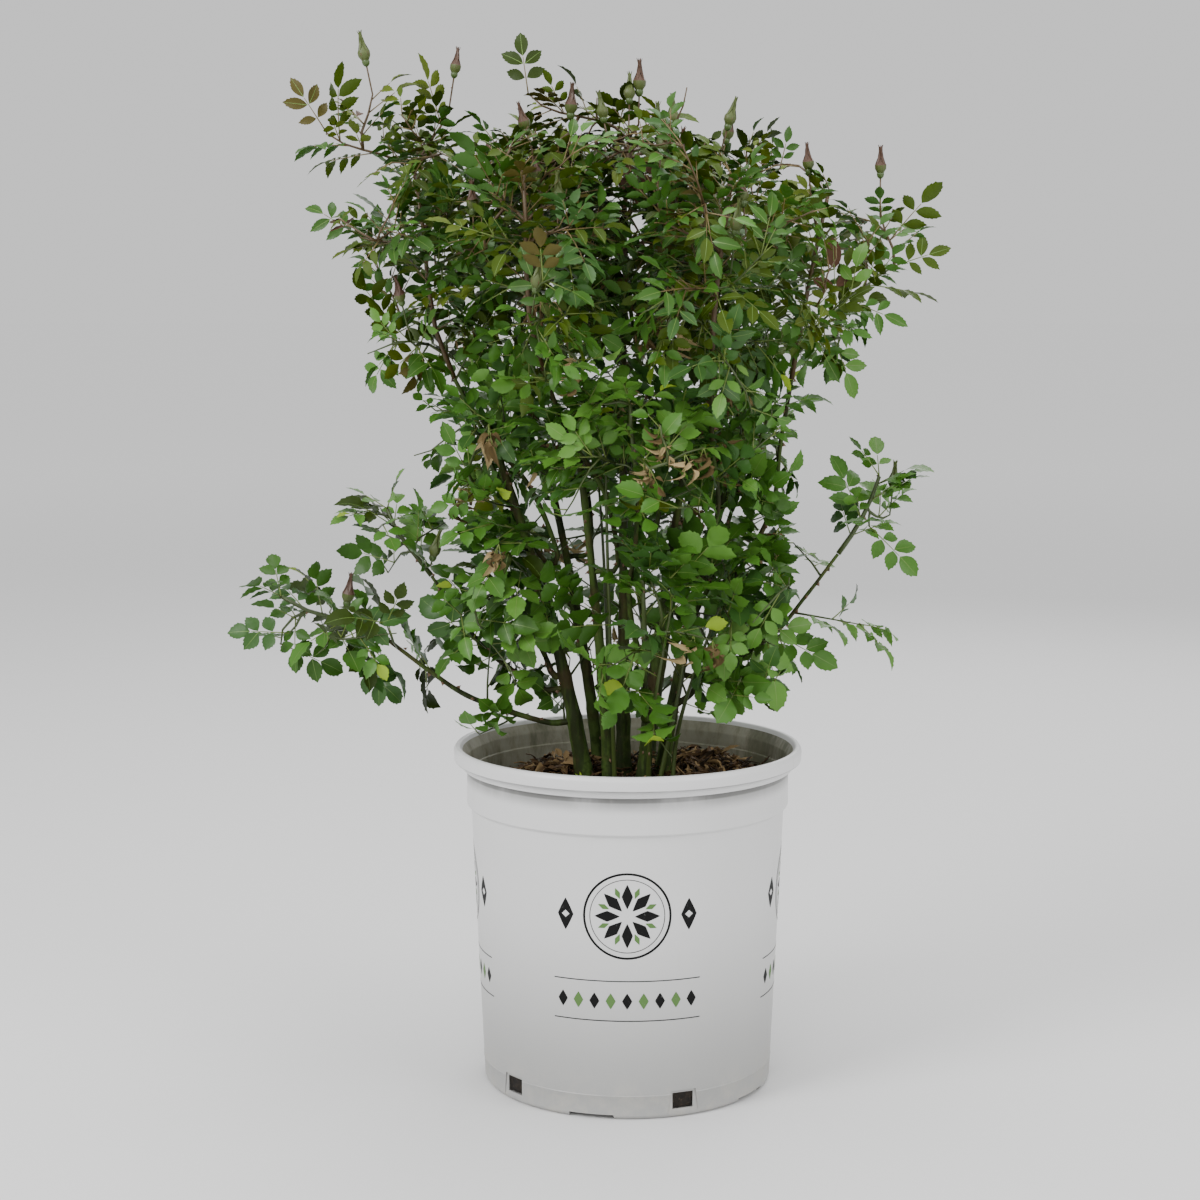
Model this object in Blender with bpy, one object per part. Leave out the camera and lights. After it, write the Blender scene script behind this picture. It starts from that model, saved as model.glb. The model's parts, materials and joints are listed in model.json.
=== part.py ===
# A shrub rose in its round nursery pot: pot, soil, canes, boughs and leafy masses.
# Metres, +Z up. The origin is the centre of the pot's flat underside, and -Y is the front.
import math
import random

import bmesh
import bpy
import numpy as np
from mathutils import Matrix, Vector

# Pot
POT_HEIGHT = 0.255
RIM_RADIUS = 0.1303          # outside of the turned-over rim
RIM_HEIGHT = 0.0105
RIM_WIDTH = 0.0055
BAND_RADIUS = 0.1245         # stiffening ring under the rim
BAND_HEIGHT = 0.0065
COLLAR_RADIUS = 0.1204
COLLAR_FOOT = 0.2115         # height where the collar steps in to the body
BODY_TOP_RADIUS = 0.1171
BODY_FOOT_RADIUS = 0.1080
LEDGE = 0.0020               # height of the sloping step under the collar
CORNER = 0.0025              # rounding of the foot's corners
WALL = 0.0020
FLOOR = 0.0025
CHANNEL = 0.0040             # height of the drain channel under the floor
CHANNEL_INNER = 0.0825
CHANNEL_OUTER = 0.0985
POT_SIDES = 40
SOIL_SIDES = 24

DRAIN_COUNT = 5
DRAIN_FIRST = math.radians(-68.0)     # direction of the first drain hole, from +X
HOLE_WIDTH = 0.0160
HOLE_FOOT = 0.0065
HOLE_HEIGHT = 0.0120
FRAME_OVER = 0.0020          # the recess reaches this far above its hole
FRAME_TOP_WIDTH = 0.0190     # the shallow recess round each hole widens downwards
FRAME_FOOT_WIDTH = 0.0250
FRAME_HEIGHT = 0.0185
FRAME_DEPTH = 0.0010
NOTCH_WIDTH = 0.0360
NOTCH_HEIGHT = 0.0037
NOTCH_TAPER = 0.0030         # the notch is this much narrower at its top

# Soil
SOIL_TOP = 0.2220
GAP = 0.0003                 # clearance between pieces that touch in the real plant

# Canes: foot (x, y), top (x, y, z), foot radius, top radius
CANE_SIDES = 7
CANE_RINGS = 5
CANE_FLARE = 1.30            # widening of the root flare at the soil
CANE_FLARE_ON = 1.06         # and of the ring above it
FLARE_SHARE = 0.3            # where that ring stands between the foot and the next one
CANE_LEAN = 0.6              # how much a cane leans as it leaves the soil
CANES = {
    "left":        ((-0.030, -0.008), (-0.104, -0.030, 0.500), 0.0066, 0.0038),
    "left_back":   ((-0.020, 0.020), (-0.072, 0.078, 0.500), 0.0052, 0.0036),
    "middle_left": ((-0.013, -0.012), (-0.038, -0.066, 0.500), 0.0052, 0.0036),
    "middle":      ((-0.003, 0.006), (-0.004, 0.014, 0.590), 0.0058, 0.0036),
    "middle_right": ((0.011, -0.014), (0.044, -0.072, 0.490), 0.0054, 0.0036),
    "right":       ((0.024, -0.002), (0.088, -0.016, 0.500), 0.0056, 0.0036),
    "right_back":  ((0.014, 0.022), (0.064, 0.080, 0.500), 0.0050, 0.0036),
}

# Boughs
BOUGH_SIDES = 4
BOUGH_RINGS = 4
BOUGH_FOOT_RADIUS = 0.0032
BOUGH_TIP_RADIUS = 0.0022
FORK_SHARE = 0.42            # a bough leaves its cane this far up from soil to mass
FOOT_SHARE = 0.62            # it ends this share of the reach short of the heart
FORK_STATIONS = 6            # places tried between two rings of a cane
FORK_PULL = 0.8              # how much the height of the fork counts against its distance
BOUGH_RISE = 0.35            # how much a bough turns up at its end
CURVE_PULL = 0.36            # how far a limb keeps its direction at each end, as a share of its span

# Leafy masses: heart (x, y, z), reach (x, y, z)
MASSES = {
    "upper_left":        ((-0.146, -0.005, 0.612), (0.092, 0.088, 0.145)),
    "upper_front_left":  ((-0.068, -0.108, 0.615), (0.082, 0.080, 0.135)),
    "upper_front_right": ((0.066, -0.108, 0.610), (0.082, 0.080, 0.135)),
    "upper_right":       ((0.138, 0.000, 0.605), (0.084, 0.088, 0.135)),
    "upper_back_right":  ((0.068, 0.110, 0.610), (0.084, 0.080, 0.135)),
    "upper_back_left":   ((-0.072, 0.110, 0.615), (0.084, 0.080, 0.135)),
    "upper_middle":      ((0.000, 0.000, 0.655), (0.082, 0.082, 0.100)),
    "waist_left":        ((-0.105, -0.010, 0.482), (0.070, 0.075, 0.065)),
    "waist_front":       ((0.000, -0.100, 0.485), (0.085, 0.060, 0.065)),
    "waist_right":       ((0.098, -0.005, 0.480), (0.066, 0.080, 0.065)),
    "waist_back":        ((0.000, 0.105, 0.485), (0.088, 0.060, 0.065)),
    "lower_left":        ((-0.092, -0.005, 0.362), (0.078, 0.080, 0.085)),
    "lower_front":       ((0.010, -0.082, 0.365), (0.075, 0.065, 0.080)),
    "lower_right":       ((0.094, -0.005, 0.358), (0.070, 0.080, 0.090)),
    "lower_back":        ((0.004, 0.086, 0.362), (0.084, 0.070, 0.085)),
    "low_bough_end":     ((-0.225, -0.020, 0.350), (0.085, 0.070, 0.065)),
    "low_bough_shoots":  ((-0.172, 0.000, 0.405), (0.055, 0.060, 0.060)),
    "right_sprig":       ((0.180, 0.005, 0.425), (0.050, 0.055, 0.070)),
}
SPACE_POWER = 2.8            # 2 is a plain ellipsoid, more is fuller at the corners
TWIG_SHARE = 32              # twigs for each metre of a mass's upward reach
LEAF_COUNT = 122             # compound leaves in the whole crown, besides those that end a shoot

# Shoots that stand out of the crown: the furthest point of each, on the mass that is nearest
BUD_SHOOTS = [
    (-0.193, -0.020, 0.778), (-0.123, 0.010, 0.772), (0.008, -0.020, 0.757), (0.128, -0.010, 0.702),
    (0.183, 0.000, 0.700), (0.199, 0.010, 0.470), (-0.202, -0.030, 0.388), (-0.137, -0.020, 0.420),
]
LEAF_SHOOTS = [
    (-0.241, -0.030, 0.744), (-0.079, -0.010, 0.780), (-0.236, 0.000, 0.657), (0.240, 0.010, 0.625),
    (0.205, -0.020, 0.567), (-0.198, 0.010, 0.512), (0.168, 0.000, 0.512), (0.213, -0.010, 0.387),
    (0.152, -0.030, 0.319), (-0.297, -0.030, 0.345), (-0.212, -0.020, 0.314), (-0.163, -0.020, 0.288),
    (0.010, -0.190, 0.590), (0.000, 0.195, 0.600),
]
TALL_MASS = 0.095            # masses with more upward reach than this carry buds over their top
BUDS_OVER = 2
BUD_RING = 0.50              # how far out from the heart those buds stand, as a share of the reach
BUD_RISE = 0.98              # and how far up

# Twigs, leaves and buds
STEM_STEPS = 4
STEM_SIDES = 4
STEM_FREE = 4                # the first samples of a stem may lie outside the mass's space
LEAF_BACK = 0.055            # a shoot's twig ends this far short of the tip of its leaf
STEM_SPREAD = 1.6            # how much the stem of a tall mass leans out, against its rise
STEM_FOOT_SHARE = 0.95       # its foot is this share of the bough's tip
STEM_TRIES = 40
STEM_STRAY = 0.04            # each try may stray this much further from the first way
TWIG_REACH = 0.55            # plain twigs end on a shell at this share of the reach
TWIG_LEAST = 0.016           # no twig is shorter
TWIG_LONG = 0.08             # a longer one is drawn in three steps
TURN_BACK = 0.02             # a twig that has to turn back counts as this much longer
TWIG_ORIGINS = 14            # places on the wood tried for each twig
STEM_SHARE = 0.45            # the stem of a mass ends this share of its reach beyond the heart
TWIG_FOOT_RADIUS = 0.0018
TWIG_TIP_RADIUS = 0.0011
STEM_TIP_RADIUS = 0.0017
STALK_HALF = 0.0010          # half the width of a leaf's stalk
STALK_LENGTH = 0.056         # from the twig to the end leaflet of a leaf with two pairs
SHORT_STALK = 0.028          # the same for a leaf with one pair
LEAFLET_LENGTH = 0.050
LEAFLET_WIDTH = 0.68         # share of its length
WIDEST = 0.46                # where it is widest, as a share of its length
LEAF_THICK = 0.0014          # at a leaflet's root; it thins to the edge
LEAF_ARCH = 0.9              # how much the stalk bends down, per metre
LEAF_DROOP = 0.12            # and the leaflets to its sides
PAIR_ANGLE = math.radians(62)
PAIRS = {1: [(0.45, 0.92)], 2: [(0.36, 0.82), (0.80, 0.92)]}     # place on the stalk, size
LEAF_KINDS = ((2, 1.0), (2, 0.85), (2, 0.70), (1, 1.0), (1, 0.8))     # pairs and size
LEAF_TRIES = 120
SHOOT_LEAF_SIZES = (0.58, 0.95)
NORMAL_MIX = (0.50, 0.85, 0.40)     # a leaf's upper side: up, out of the crown, by chance
AIM_MIX = (0.35, 0.50, 0.80)        # a leaf's direction: along its twig, out, by chance
APART_MOST = 0.09            # a leaf further than this from all others gains no more
OUTER_WORTH = 0.30           # worth of standing away from the heart, against standing apart
FULL_LEAF_WORTH = 0.012      # and of having two pairs
SIDE_BY_SIDE = 0.93          # no leaf runs closer along its own twig, as a cosine
BUD_LENGTH = 0.024
BUD_RADIUS = 0.0058
BUD_WAIST = 0.36             # where a bud is widest, as a share of its length
SINK = 0.004                 # how deep buds and leaves sit in the end of their twig

# Clearances
LIMB_CLEAR = 0.0010          # between boughs
TWIG_TO_LIMB = 0.0015
TWIG_TO_TWIG = 0.0035
LEAF_TO_LIMB = 0.0016
LEAF_TO_TWIG = 0.0012
LEAF_TO_LEAF = 0.0020
TWIG_TO_SPACE = 0.0008       # from the edge of the mass's space
LEAF_TO_SPACE = 0.0006
ROOT_FREE = 0.009            # a piece may come close to its own wood this near to its root
FORK_FREE = 0.012            # and a bough to its own cane
LIMB_NEAR = 0.22             # limbs further than this from a heart are left out of its tests

GOLDEN = math.pi * (3 - math.sqrt(5))
SIDE_HINT = Vector((0.31, 0.17, 0.93))
SEED = 7

# Colours, roughness
FINISHES = {
    "white_plastic": ((0.78, 0.78, 0.78), 0.38),
    "soil": ((0.035, 0.024, 0.016), 0.95),
    "cane_bark": ((0.085, 0.105, 0.040), 0.70),
    "bough_bark": ((0.120, 0.130, 0.050), 0.65),
    "leaf": ((0.060, 0.150, 0.030), 0.45),
}


def clear_scene():
    for thing in list(bpy.data.objects):
        bpy.data.objects.remove(thing)


def finish(name):
    colour, roughness = FINISHES[name]
    made = bpy.data.materials.get(name) or bpy.data.materials.new(name)
    made.use_nodes = True
    shader = made.node_tree.nodes["Principled BSDF"]
    shader.inputs["Base Color"].default_value = (*colour, 1)
    shader.inputs["Roughness"].default_value = roughness
    shader.inputs["Metallic"].default_value = 0.0
    return made


def add_object(name, mesh, material=None):
    thing = bpy.data.objects.new(name, mesh)
    bpy.context.scene.collection.objects.link(thing)
    if material:
        mesh.materials.clear()
        mesh.materials.append(finish(material))
    return thing


def mesh_of(name, points, faces):
    mesh = bpy.data.meshes.new(name)
    mesh.from_pydata([tuple(p) for p in points], [], faces)
    form = bmesh.new()
    form.from_mesh(mesh)
    bmesh.ops.recalc_face_normals(form, faces=form.faces)
    form.to_mesh(mesh)
    form.free()
    return mesh


def turned(name, profile, sides):
    # A closed solid of revolution. The profile runs from the axis to the axis.
    form = bmesh.new()
    verts = [form.verts.new((r, 0, z)) for r, z in profile]
    edges = [form.edges.new(pair) for pair in zip(verts, verts[1:])]
    bmesh.ops.spin(form, geom=verts + edges, cent=(0, 0, 0), axis=(0, 0, 1), angle=math.tau, steps=sides)
    bmesh.ops.remove_doubles(form, verts=form.verts, dist=0.00002)
    bmesh.ops.recalc_face_normals(form, faces=form.faces)
    mesh = bpy.data.meshes.new(name)
    form.to_mesh(mesh)
    form.free()
    return mesh


def shade_round(thing, angle=math.radians(32)):
    thing.data.shade_smooth()
    thing.data.set_sharp_from_angle(angle=angle)


# ---- pot and soil

def body_radius(z):
    # Outer radius of the tapered body at a height below the collar.
    return BODY_FOOT_RADIUS + (BODY_TOP_RADIUS - BODY_FOOT_RADIUS) * z / COLLAR_FOOT


def pot_profile():
    rim_foot = POT_HEIGHT - RIM_HEIGHT
    band_foot = rim_foot - BAND_HEIGHT
    mouth = RIM_RADIUS - RIM_WIDTH
    floor_top = CHANNEL + WALL
    outside = [
        (0, 0), (CHANNEL_INNER - CORNER, 0), (CHANNEL_INNER, CHANNEL), (CHANNEL_OUTER, CHANNEL),
        (CHANNEL_OUTER + CORNER, 0), (BODY_FOOT_RADIUS - CORNER, 0), (BODY_FOOT_RADIUS, CORNER),
        (BODY_TOP_RADIUS, COLLAR_FOOT - LEDGE), (COLLAR_RADIUS, COLLAR_FOOT), (COLLAR_RADIUS, band_foot),
        (BAND_RADIUS, band_foot + 0.0010), (BAND_RADIUS, rim_foot), (RIM_RADIUS, rim_foot),
        (RIM_RADIUS, POT_HEIGHT - 0.0030), (RIM_RADIUS - 0.0018, POT_HEIGHT),
    ]
    inside = [
        (mouth + 0.0008, POT_HEIGHT), (mouth - 0.0006, POT_HEIGHT - 0.0022),
        (COLLAR_RADIUS - WALL + 0.0008, band_foot), (COLLAR_RADIUS - WALL, COLLAR_FOOT + 0.0010),
        (BODY_TOP_RADIUS - WALL, COLLAR_FOOT - LEDGE - 0.0010), (body_radius(floor_top) - WALL, floor_top),
        (CHANNEL_INNER - 0.0020, floor_top), (CHANNEL_INNER - 0.0050, FLOOR), (0, FLOOR),
    ]
    return outside + inside


def wedge(name, near, far, foot, top, foot_width, top_width, angle):
    # A block across the wall, from radius near to radius far, turned to an angle about the axis.
    points = []
    for r in (near, far):
        for z, width in ((foot, foot_width), (top, top_width)):
            points += [(r, -width / 2, z), (r, width / 2, z)]
    faces = [(0, 1, 3, 2), (4, 6, 7, 5), (0, 4, 5, 1), (2, 3, 7, 6), (0, 2, 6, 4), (1, 5, 7, 3)]
    turn = Matrix.Rotation(angle, 3, "Z")
    cutter = add_object(name, mesh_of(name, [turn @ Vector(p) for p in points], faces))
    cutter.hide_render = True
    cutter.display_type = "WIRE"
    return cutter


def cut_drains(pot):
    group = bpy.data.collections.new("drain_cutters")
    frame_top = HOLE_FOOT + HOLE_HEIGHT + FRAME_OVER
    frame_foot = frame_top - FRAME_HEIGHT
    outer = body_radius(frame_top) + 0.01
    cutters = []
    for k in range(DRAIN_COUNT):
        angle = DRAIN_FIRST + k * math.tau / DRAIN_COUNT
        between = angle + math.pi / DRAIN_COUNT
        cutters.append(wedge(f"hole_cutter_{k}", CHANNEL_OUTER + 0.001, outer, HOLE_FOOT,
                             HOLE_FOOT + HOLE_HEIGHT, HOLE_WIDTH, HOLE_WIDTH, angle))
        cutters.append(wedge(f"frame_cutter_{k}", body_radius(frame_foot) - FRAME_DEPTH, outer, frame_foot,
                             frame_top, FRAME_FOOT_WIDTH, FRAME_TOP_WIDTH, angle))
        cutters.append(wedge(f"notch_cutter_{k}", CHANNEL_OUTER - 0.003, outer, -0.01,
                             NOTCH_HEIGHT, NOTCH_WIDTH, NOTCH_WIDTH - NOTCH_TAPER, between))
    for cutter in cutters:
        group.objects.link(cutter)
    join_or_cut(pot, group, "DIFFERENCE")


def solved(thing, group, operation, solver):
    # The mesh that one Boolean with a whole collection gives.
    step = thing.modifiers.new("boolean", "BOOLEAN")
    step.operation = operation
    step.operand_type = "COLLECTION"
    step.collection = group
    step.solver = solver
    bpy.context.view_layer.update()
    mesh = bpy.data.meshes.new_from_object(thing.evaluated_get(bpy.context.evaluated_depsgraph_get()))
    thing.modifiers.clear()
    return mesh


def cleaned(mesh):
    # Drops loose scraps, and says whether what is left is closed.
    form = bmesh.new()
    form.from_mesh(mesh)
    bmesh.ops.triangulate(form, faces=form.faces)
    unseen, bodies = set(form.faces), []
    while unseen:
        edge, body = [unseen.pop()], []
        while edge:
            face = edge.pop()
            body.append(face)
            for near in {f for e in face.edges for f in e.link_faces} & unseen:
                unseen.discard(near)
                edge.append(near)
        bodies.append(body)
    for body in sorted(bodies, key=len)[:-1]:
        bmesh.ops.delete(form, geom=body, context="FACES")
    closed = all(len(edge.link_faces) == 2 for edge in form.edges)
    form.to_mesh(mesh)
    form.free()
    return closed


def join_or_cut(thing, group, operation):
    # Applies the Boolean, by the second solver where the first leaves an opening, and
    # removes the collection's objects.
    for solver in ("EXACT", "MANIFOLD"):
        mesh = solved(thing, group, operation, solver)
        closed = cleaned(mesh)
        if closed:
            break
    mesh.materials.clear()
    mesh.materials.append(thing.data.materials[0])
    thing.data = mesh
    for part in list(group.objects):
        bpy.data.objects.remove(part)
    bpy.data.collections.remove(group)
    return closed


def make_pot():
    pot = add_object("pot", turned("pot", pot_profile(), POT_SIDES), "white_plastic")
    cut_drains(pot)
    shade_round(pot)


def make_soil():
    floor_top = CHANNEL + WALL
    clear = WALL + 2 * GAP
    profile = [
        (0, FLOOR + GAP), (CHANNEL_INNER - 0.0050 - GAP, FLOOR + GAP),
        (CHANNEL_INNER - 0.0020 - GAP, floor_top + GAP), (body_radius(floor_top) - clear, floor_top + GAP),
        (BODY_TOP_RADIUS - clear, COLLAR_FOOT - LEDGE - 0.0010),
        (COLLAR_RADIUS - clear, COLLAR_FOOT + 0.0015), (COLLAR_RADIUS - clear, SOIL_TOP), (0, SOIL_TOP),
    ]
    shade_round(add_object("soil", turned("soil", profile, SOIL_SIDES), "soil"))


# ---- limbs

def curve(start, leaving, end, arriving, steps):
    # A smooth path that leaves start and reaches end along the two given directions.
    span = (end - start).length
    a, b = start + leaving * span * CURVE_PULL, end - arriving * span * CURVE_PULL
    path = []
    for k in range(steps + 1):
        t = k / steps
        s = 1 - t
        path.append(start * s ** 3 + a * 3 * s * s * t + b * 3 * s * t * t + end * t ** 3)
    return path


def headings(path):
    steps = [(b - a).normalized() for a, b in zip(path, path[1:])]
    inner = [(a + b).normalized() for a, b in zip(steps, steps[1:])]
    return [steps[0], *inner, steps[-1]]


def across(direction, hint=SIDE_HINT):
    # The direction nearest to the hint that is square to the given one.
    side = hint - direction * hint.dot(direction)
    if side.length < 0.2:
        side = Vector((1, 0, 0)) - direction * direction.x
    return side.normalized()


def tube(path, radii, sides, foot=None):
    # A tapering limb with flat ends. The first is square to the direction foot, if given.
    points, faces = [], []
    side = SIDE_HINT
    for k, (centre, heading, radius) in enumerate(zip(path, headings(path), radii)):
        if foot and k == 0:
            heading = foot
        side = across(heading, side)
        other = heading.cross(side)
        for n in range(sides):
            angle = math.tau * n / sides
            points.append(centre + (side * math.cos(angle) + other * math.sin(angle)) * radius)
        if k:
            low, high = (k - 1) * sides, k * sides
            for n in range(sides):
                m = (n + 1) % sides
                faces.append((low + n, low + m, high + m, high + n))
    faces.append(tuple(reversed(range(sides))))
    faces.append(tuple(range(len(points) - sides, len(points))))
    return points, faces


def spaced(path, radii, gap=0.003):
    # Sample points along a limb, with its radius at each, to keep other things clear of it.
    rows = []
    for a, b, ra, rb in zip(path, path[1:], radii, radii[1:]):
        count = max(1, int((b - a).length / gap))
        for k in range(count):
            t = k / count
            rows.append((*a.lerp(b, t), ra + (rb - ra) * t))
    rows.append((*path[-1], radii[-1]))
    return np.array(rows)


def is_clear(points, things, gap):
    # True when every sample in points (x, y, z, radius) is gap away from every sample in things.
    if len(things) == 0 or len(points) == 0:
        return True
    apart = np.linalg.norm(points[:, None, :3] - things[None, :, :3], axis=2)
    return float((apart - points[:, None, 3] - things[None, :, 3]).min()) > gap


def beyond(samples, place, distance):
    away = np.linalg.norm(samples[:, :3] - np.array(place), axis=1)
    return samples[away > distance]


def make_canes():
    canes = {}
    for name, (foot, top, foot_radius, top_radius) in CANES.items():
        start = Vector((*foot, SOIL_TOP + GAP))
        end = Vector(top)
        lean = Vector((end.x - start.x, end.y - start.y, 0)) * CANE_LEAN
        leaving = (Vector((0, 0, end.z - start.z)) + lean).normalized()
        arriving = (end - start + lean / 2).normalized()
        path = curve(start, leaving, end, arriving, CANE_RINGS)
        path.insert(1, path[0].lerp(path[1], FLARE_SHARE))
        share = [k / (len(path) - 1) for k in range(len(path))]
        radii = [foot_radius + (top_radius - foot_radius) * t for t in share]
        radii[0] *= CANE_FLARE
        radii[1] *= CANE_FLARE_ON
        points, faces = tube(path, radii, CANE_SIDES, Vector((0, 0, 1)))
        cane = add_object(f"cane_{name}", mesh_of(name, points, faces), "cane_bark")
        shade_round(cane, math.radians(60))
        canes[name] = {"path": path, "radii": radii, "samples": spaced(path, radii)}
    return canes


def stations(cane):
    # Places along a cane where a bough can leave it, with heading and radius.
    path, radii = cane["path"], cane["radii"]
    found = []
    for a, b, ra, rb in zip(path[1:], path[2:], radii[1:], radii[2:]):
        for k in range(FORK_STATIONS):
            t = k / FORK_STATIONS
            found.append((a.lerp(b, t), (b - a).normalized(), ra + (rb - ra) * t))
    return found


def route_to(mass, station, cane, limbs):
    # The bough's path from the cane's side to the mass, or None where it would touch a limb.
    place, heading, radius = station
    heart, reach = mass["heart"], mass["reach"]
    toward = (heart - place).normalized()
    outward = across(heading, toward)
    start = place + outward * (radius + GAP)
    foot = heart - Vector(t * r for t, r in zip(toward, reach)) * FOOT_SHARE
    arriving = (toward + Vector((0, 0, BOUGH_RISE))).normalized()
    path = curve(start, (outward + heading * 0.15).normalized(), foot, arriving, BOUGH_RINGS)
    path[1] = path[0] + outward * max(0.004, (path[1] - path[0]).length * 0.5) + heading * 0.004
    path.insert(1, path[0] + outward * 0.0015)
    radii = [BOUGH_FOOT_RADIUS + (BOUGH_TIP_RADIUS - BOUGH_FOOT_RADIUS) * k / (len(path) - 1)
             for k in range(len(path))]
    samples = spaced(path, radii)
    others = np.vstack([limb["samples"] for limb in limbs if limb is not cane])
    if not is_clear(samples, others, LIMB_CLEAR):
        return None
    if not is_clear(beyond(samples, place, radius + FORK_FREE), cane["samples"], LIMB_CLEAR):
        return None
    return {"path": path, "radii": radii, "samples": samples}


def make_boughs(canes, masses):
    limbs = list(canes.values())
    for name, mass in sorted(masses.items(), key=lambda item: -item[1]["heart"].z):
        heart = mass["heart"]
        fork = SOIL_TOP + FORK_SHARE * (heart.z - SOIL_TOP)
        choices = []
        for cane in canes.values():
            for station in stations(cane):
                off = abs(station[0].z - fork)
                flat = Vector((heart.x - station[0].x, heart.y - station[0].y)).length
                choices.append((flat + FORK_PULL * off, len(choices), station, cane))
        for _, _, station, cane in sorted(choices, key=lambda row: row[:2]):
            bough = route_to(mass, station, cane, limbs)
            if bough:
                break
        else:
            raise ValueError("no clear route to " + name)
        points, faces = tube(bough["path"], bough["radii"], BOUGH_SIDES)
        thing = add_object("bough_" + name, mesh_of(name, points, faces), "bough_bark")
        shade_round(thing, math.radians(60))
        limbs.append(bough)
        mass["bough"] = bough
    return limbs


# ---- leafy masses

def set_out_masses():
    masses = {}
    for name, (heart, reach) in MASSES.items():
        masses[name] = {"heart": Vector(heart), "reach": Vector(reach), "shoots": []}
    hearts = np.array([heart for heart, _ in MASSES.values()])
    reaches = np.array([reach for _, reach in MASSES.values()])
    weights = (reaches.mean(axis=1)) ** 2
    names = list(masses)
    for tip, kind in [(tip, "bud") for tip in BUD_SHOOTS] + [(tip, "leaf") for tip in LEAF_SHOOTS]:
        power = ((hearts - np.array(tip)) ** 2).sum(axis=1) - weights
        masses[names[int(power.argmin())]]["shoots"].append((Vector(tip), kind))
    for index, mass in enumerate(masses.values()):
        mass["index"] = index
        mass["field"] = (hearts, reaches, weights)
        heart, reach = mass["heart"], mass["reach"]
        for k in range(BUDS_OVER if reach.z > TALL_MASS else 0):
            angle = GOLDEN * (BUDS_OVER * index + k)
            over = Vector((math.cos(angle) * BUD_RING * reach.x, math.sin(angle) * BUD_RING * reach.y, 0))
            mass["shoots"].append((heart + over + Vector((0, 0, reach.z * BUD_RISE)), "bud"))
    return masses


def in_space(samples, mass, clear, free=False):
    # A mass owns the points that lie nearer to its heart than to any other, weighed by reach.
    # Unless free, they also lie in the rounded block of its reach.
    hearts, reaches, weights = mass["field"]
    index = mass["index"]
    offset = samples[:, None, :3] - hearts[None]
    power = (offset ** 2).sum(axis=2) - weights
    apart = np.linalg.norm(hearts - hearts[index], axis=1)
    apart[index] = 1.0
    room = (power - power[:, [index]]) / (2 * apart)
    room[:, index] = 1.0
    if float((room - samples[:, [3]]).min()) < clear:
        return False
    if free:
        return True
    scaled = offset[:, index] / reaches[index]
    return float((np.abs(scaled) ** SPACE_POWER).sum(axis=1).max()) <= 1.0


def targets(mass, count):
    # Evenly spread ends for the twigs, on a shell inside the mass's space.
    shell = []
    total = 60
    for k in range(total):
        z = 1 - 2 * (k + 0.5) / total
        ring = math.sqrt(1 - z * z)
        direction = Vector((ring * math.cos(GOLDEN * k), ring * math.sin(GOLDEN * k), z))
        place = mass["heart"] + Vector(d * r for d, r in zip(direction, mass["reach"])) * TWIG_REACH
        if in_space(np.array([(*place, 0.006)]), mass, 0.010):
            shell.append(place)
    chosen = [mass["bough"]["path"][-1]]
    while shell and len(chosen) <= count:
        best = max(shell, key=lambda place: min((place - other).length for other in chosen))
        shell.remove(best)
        chosen.append(best)
    return chosen[1:]


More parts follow.
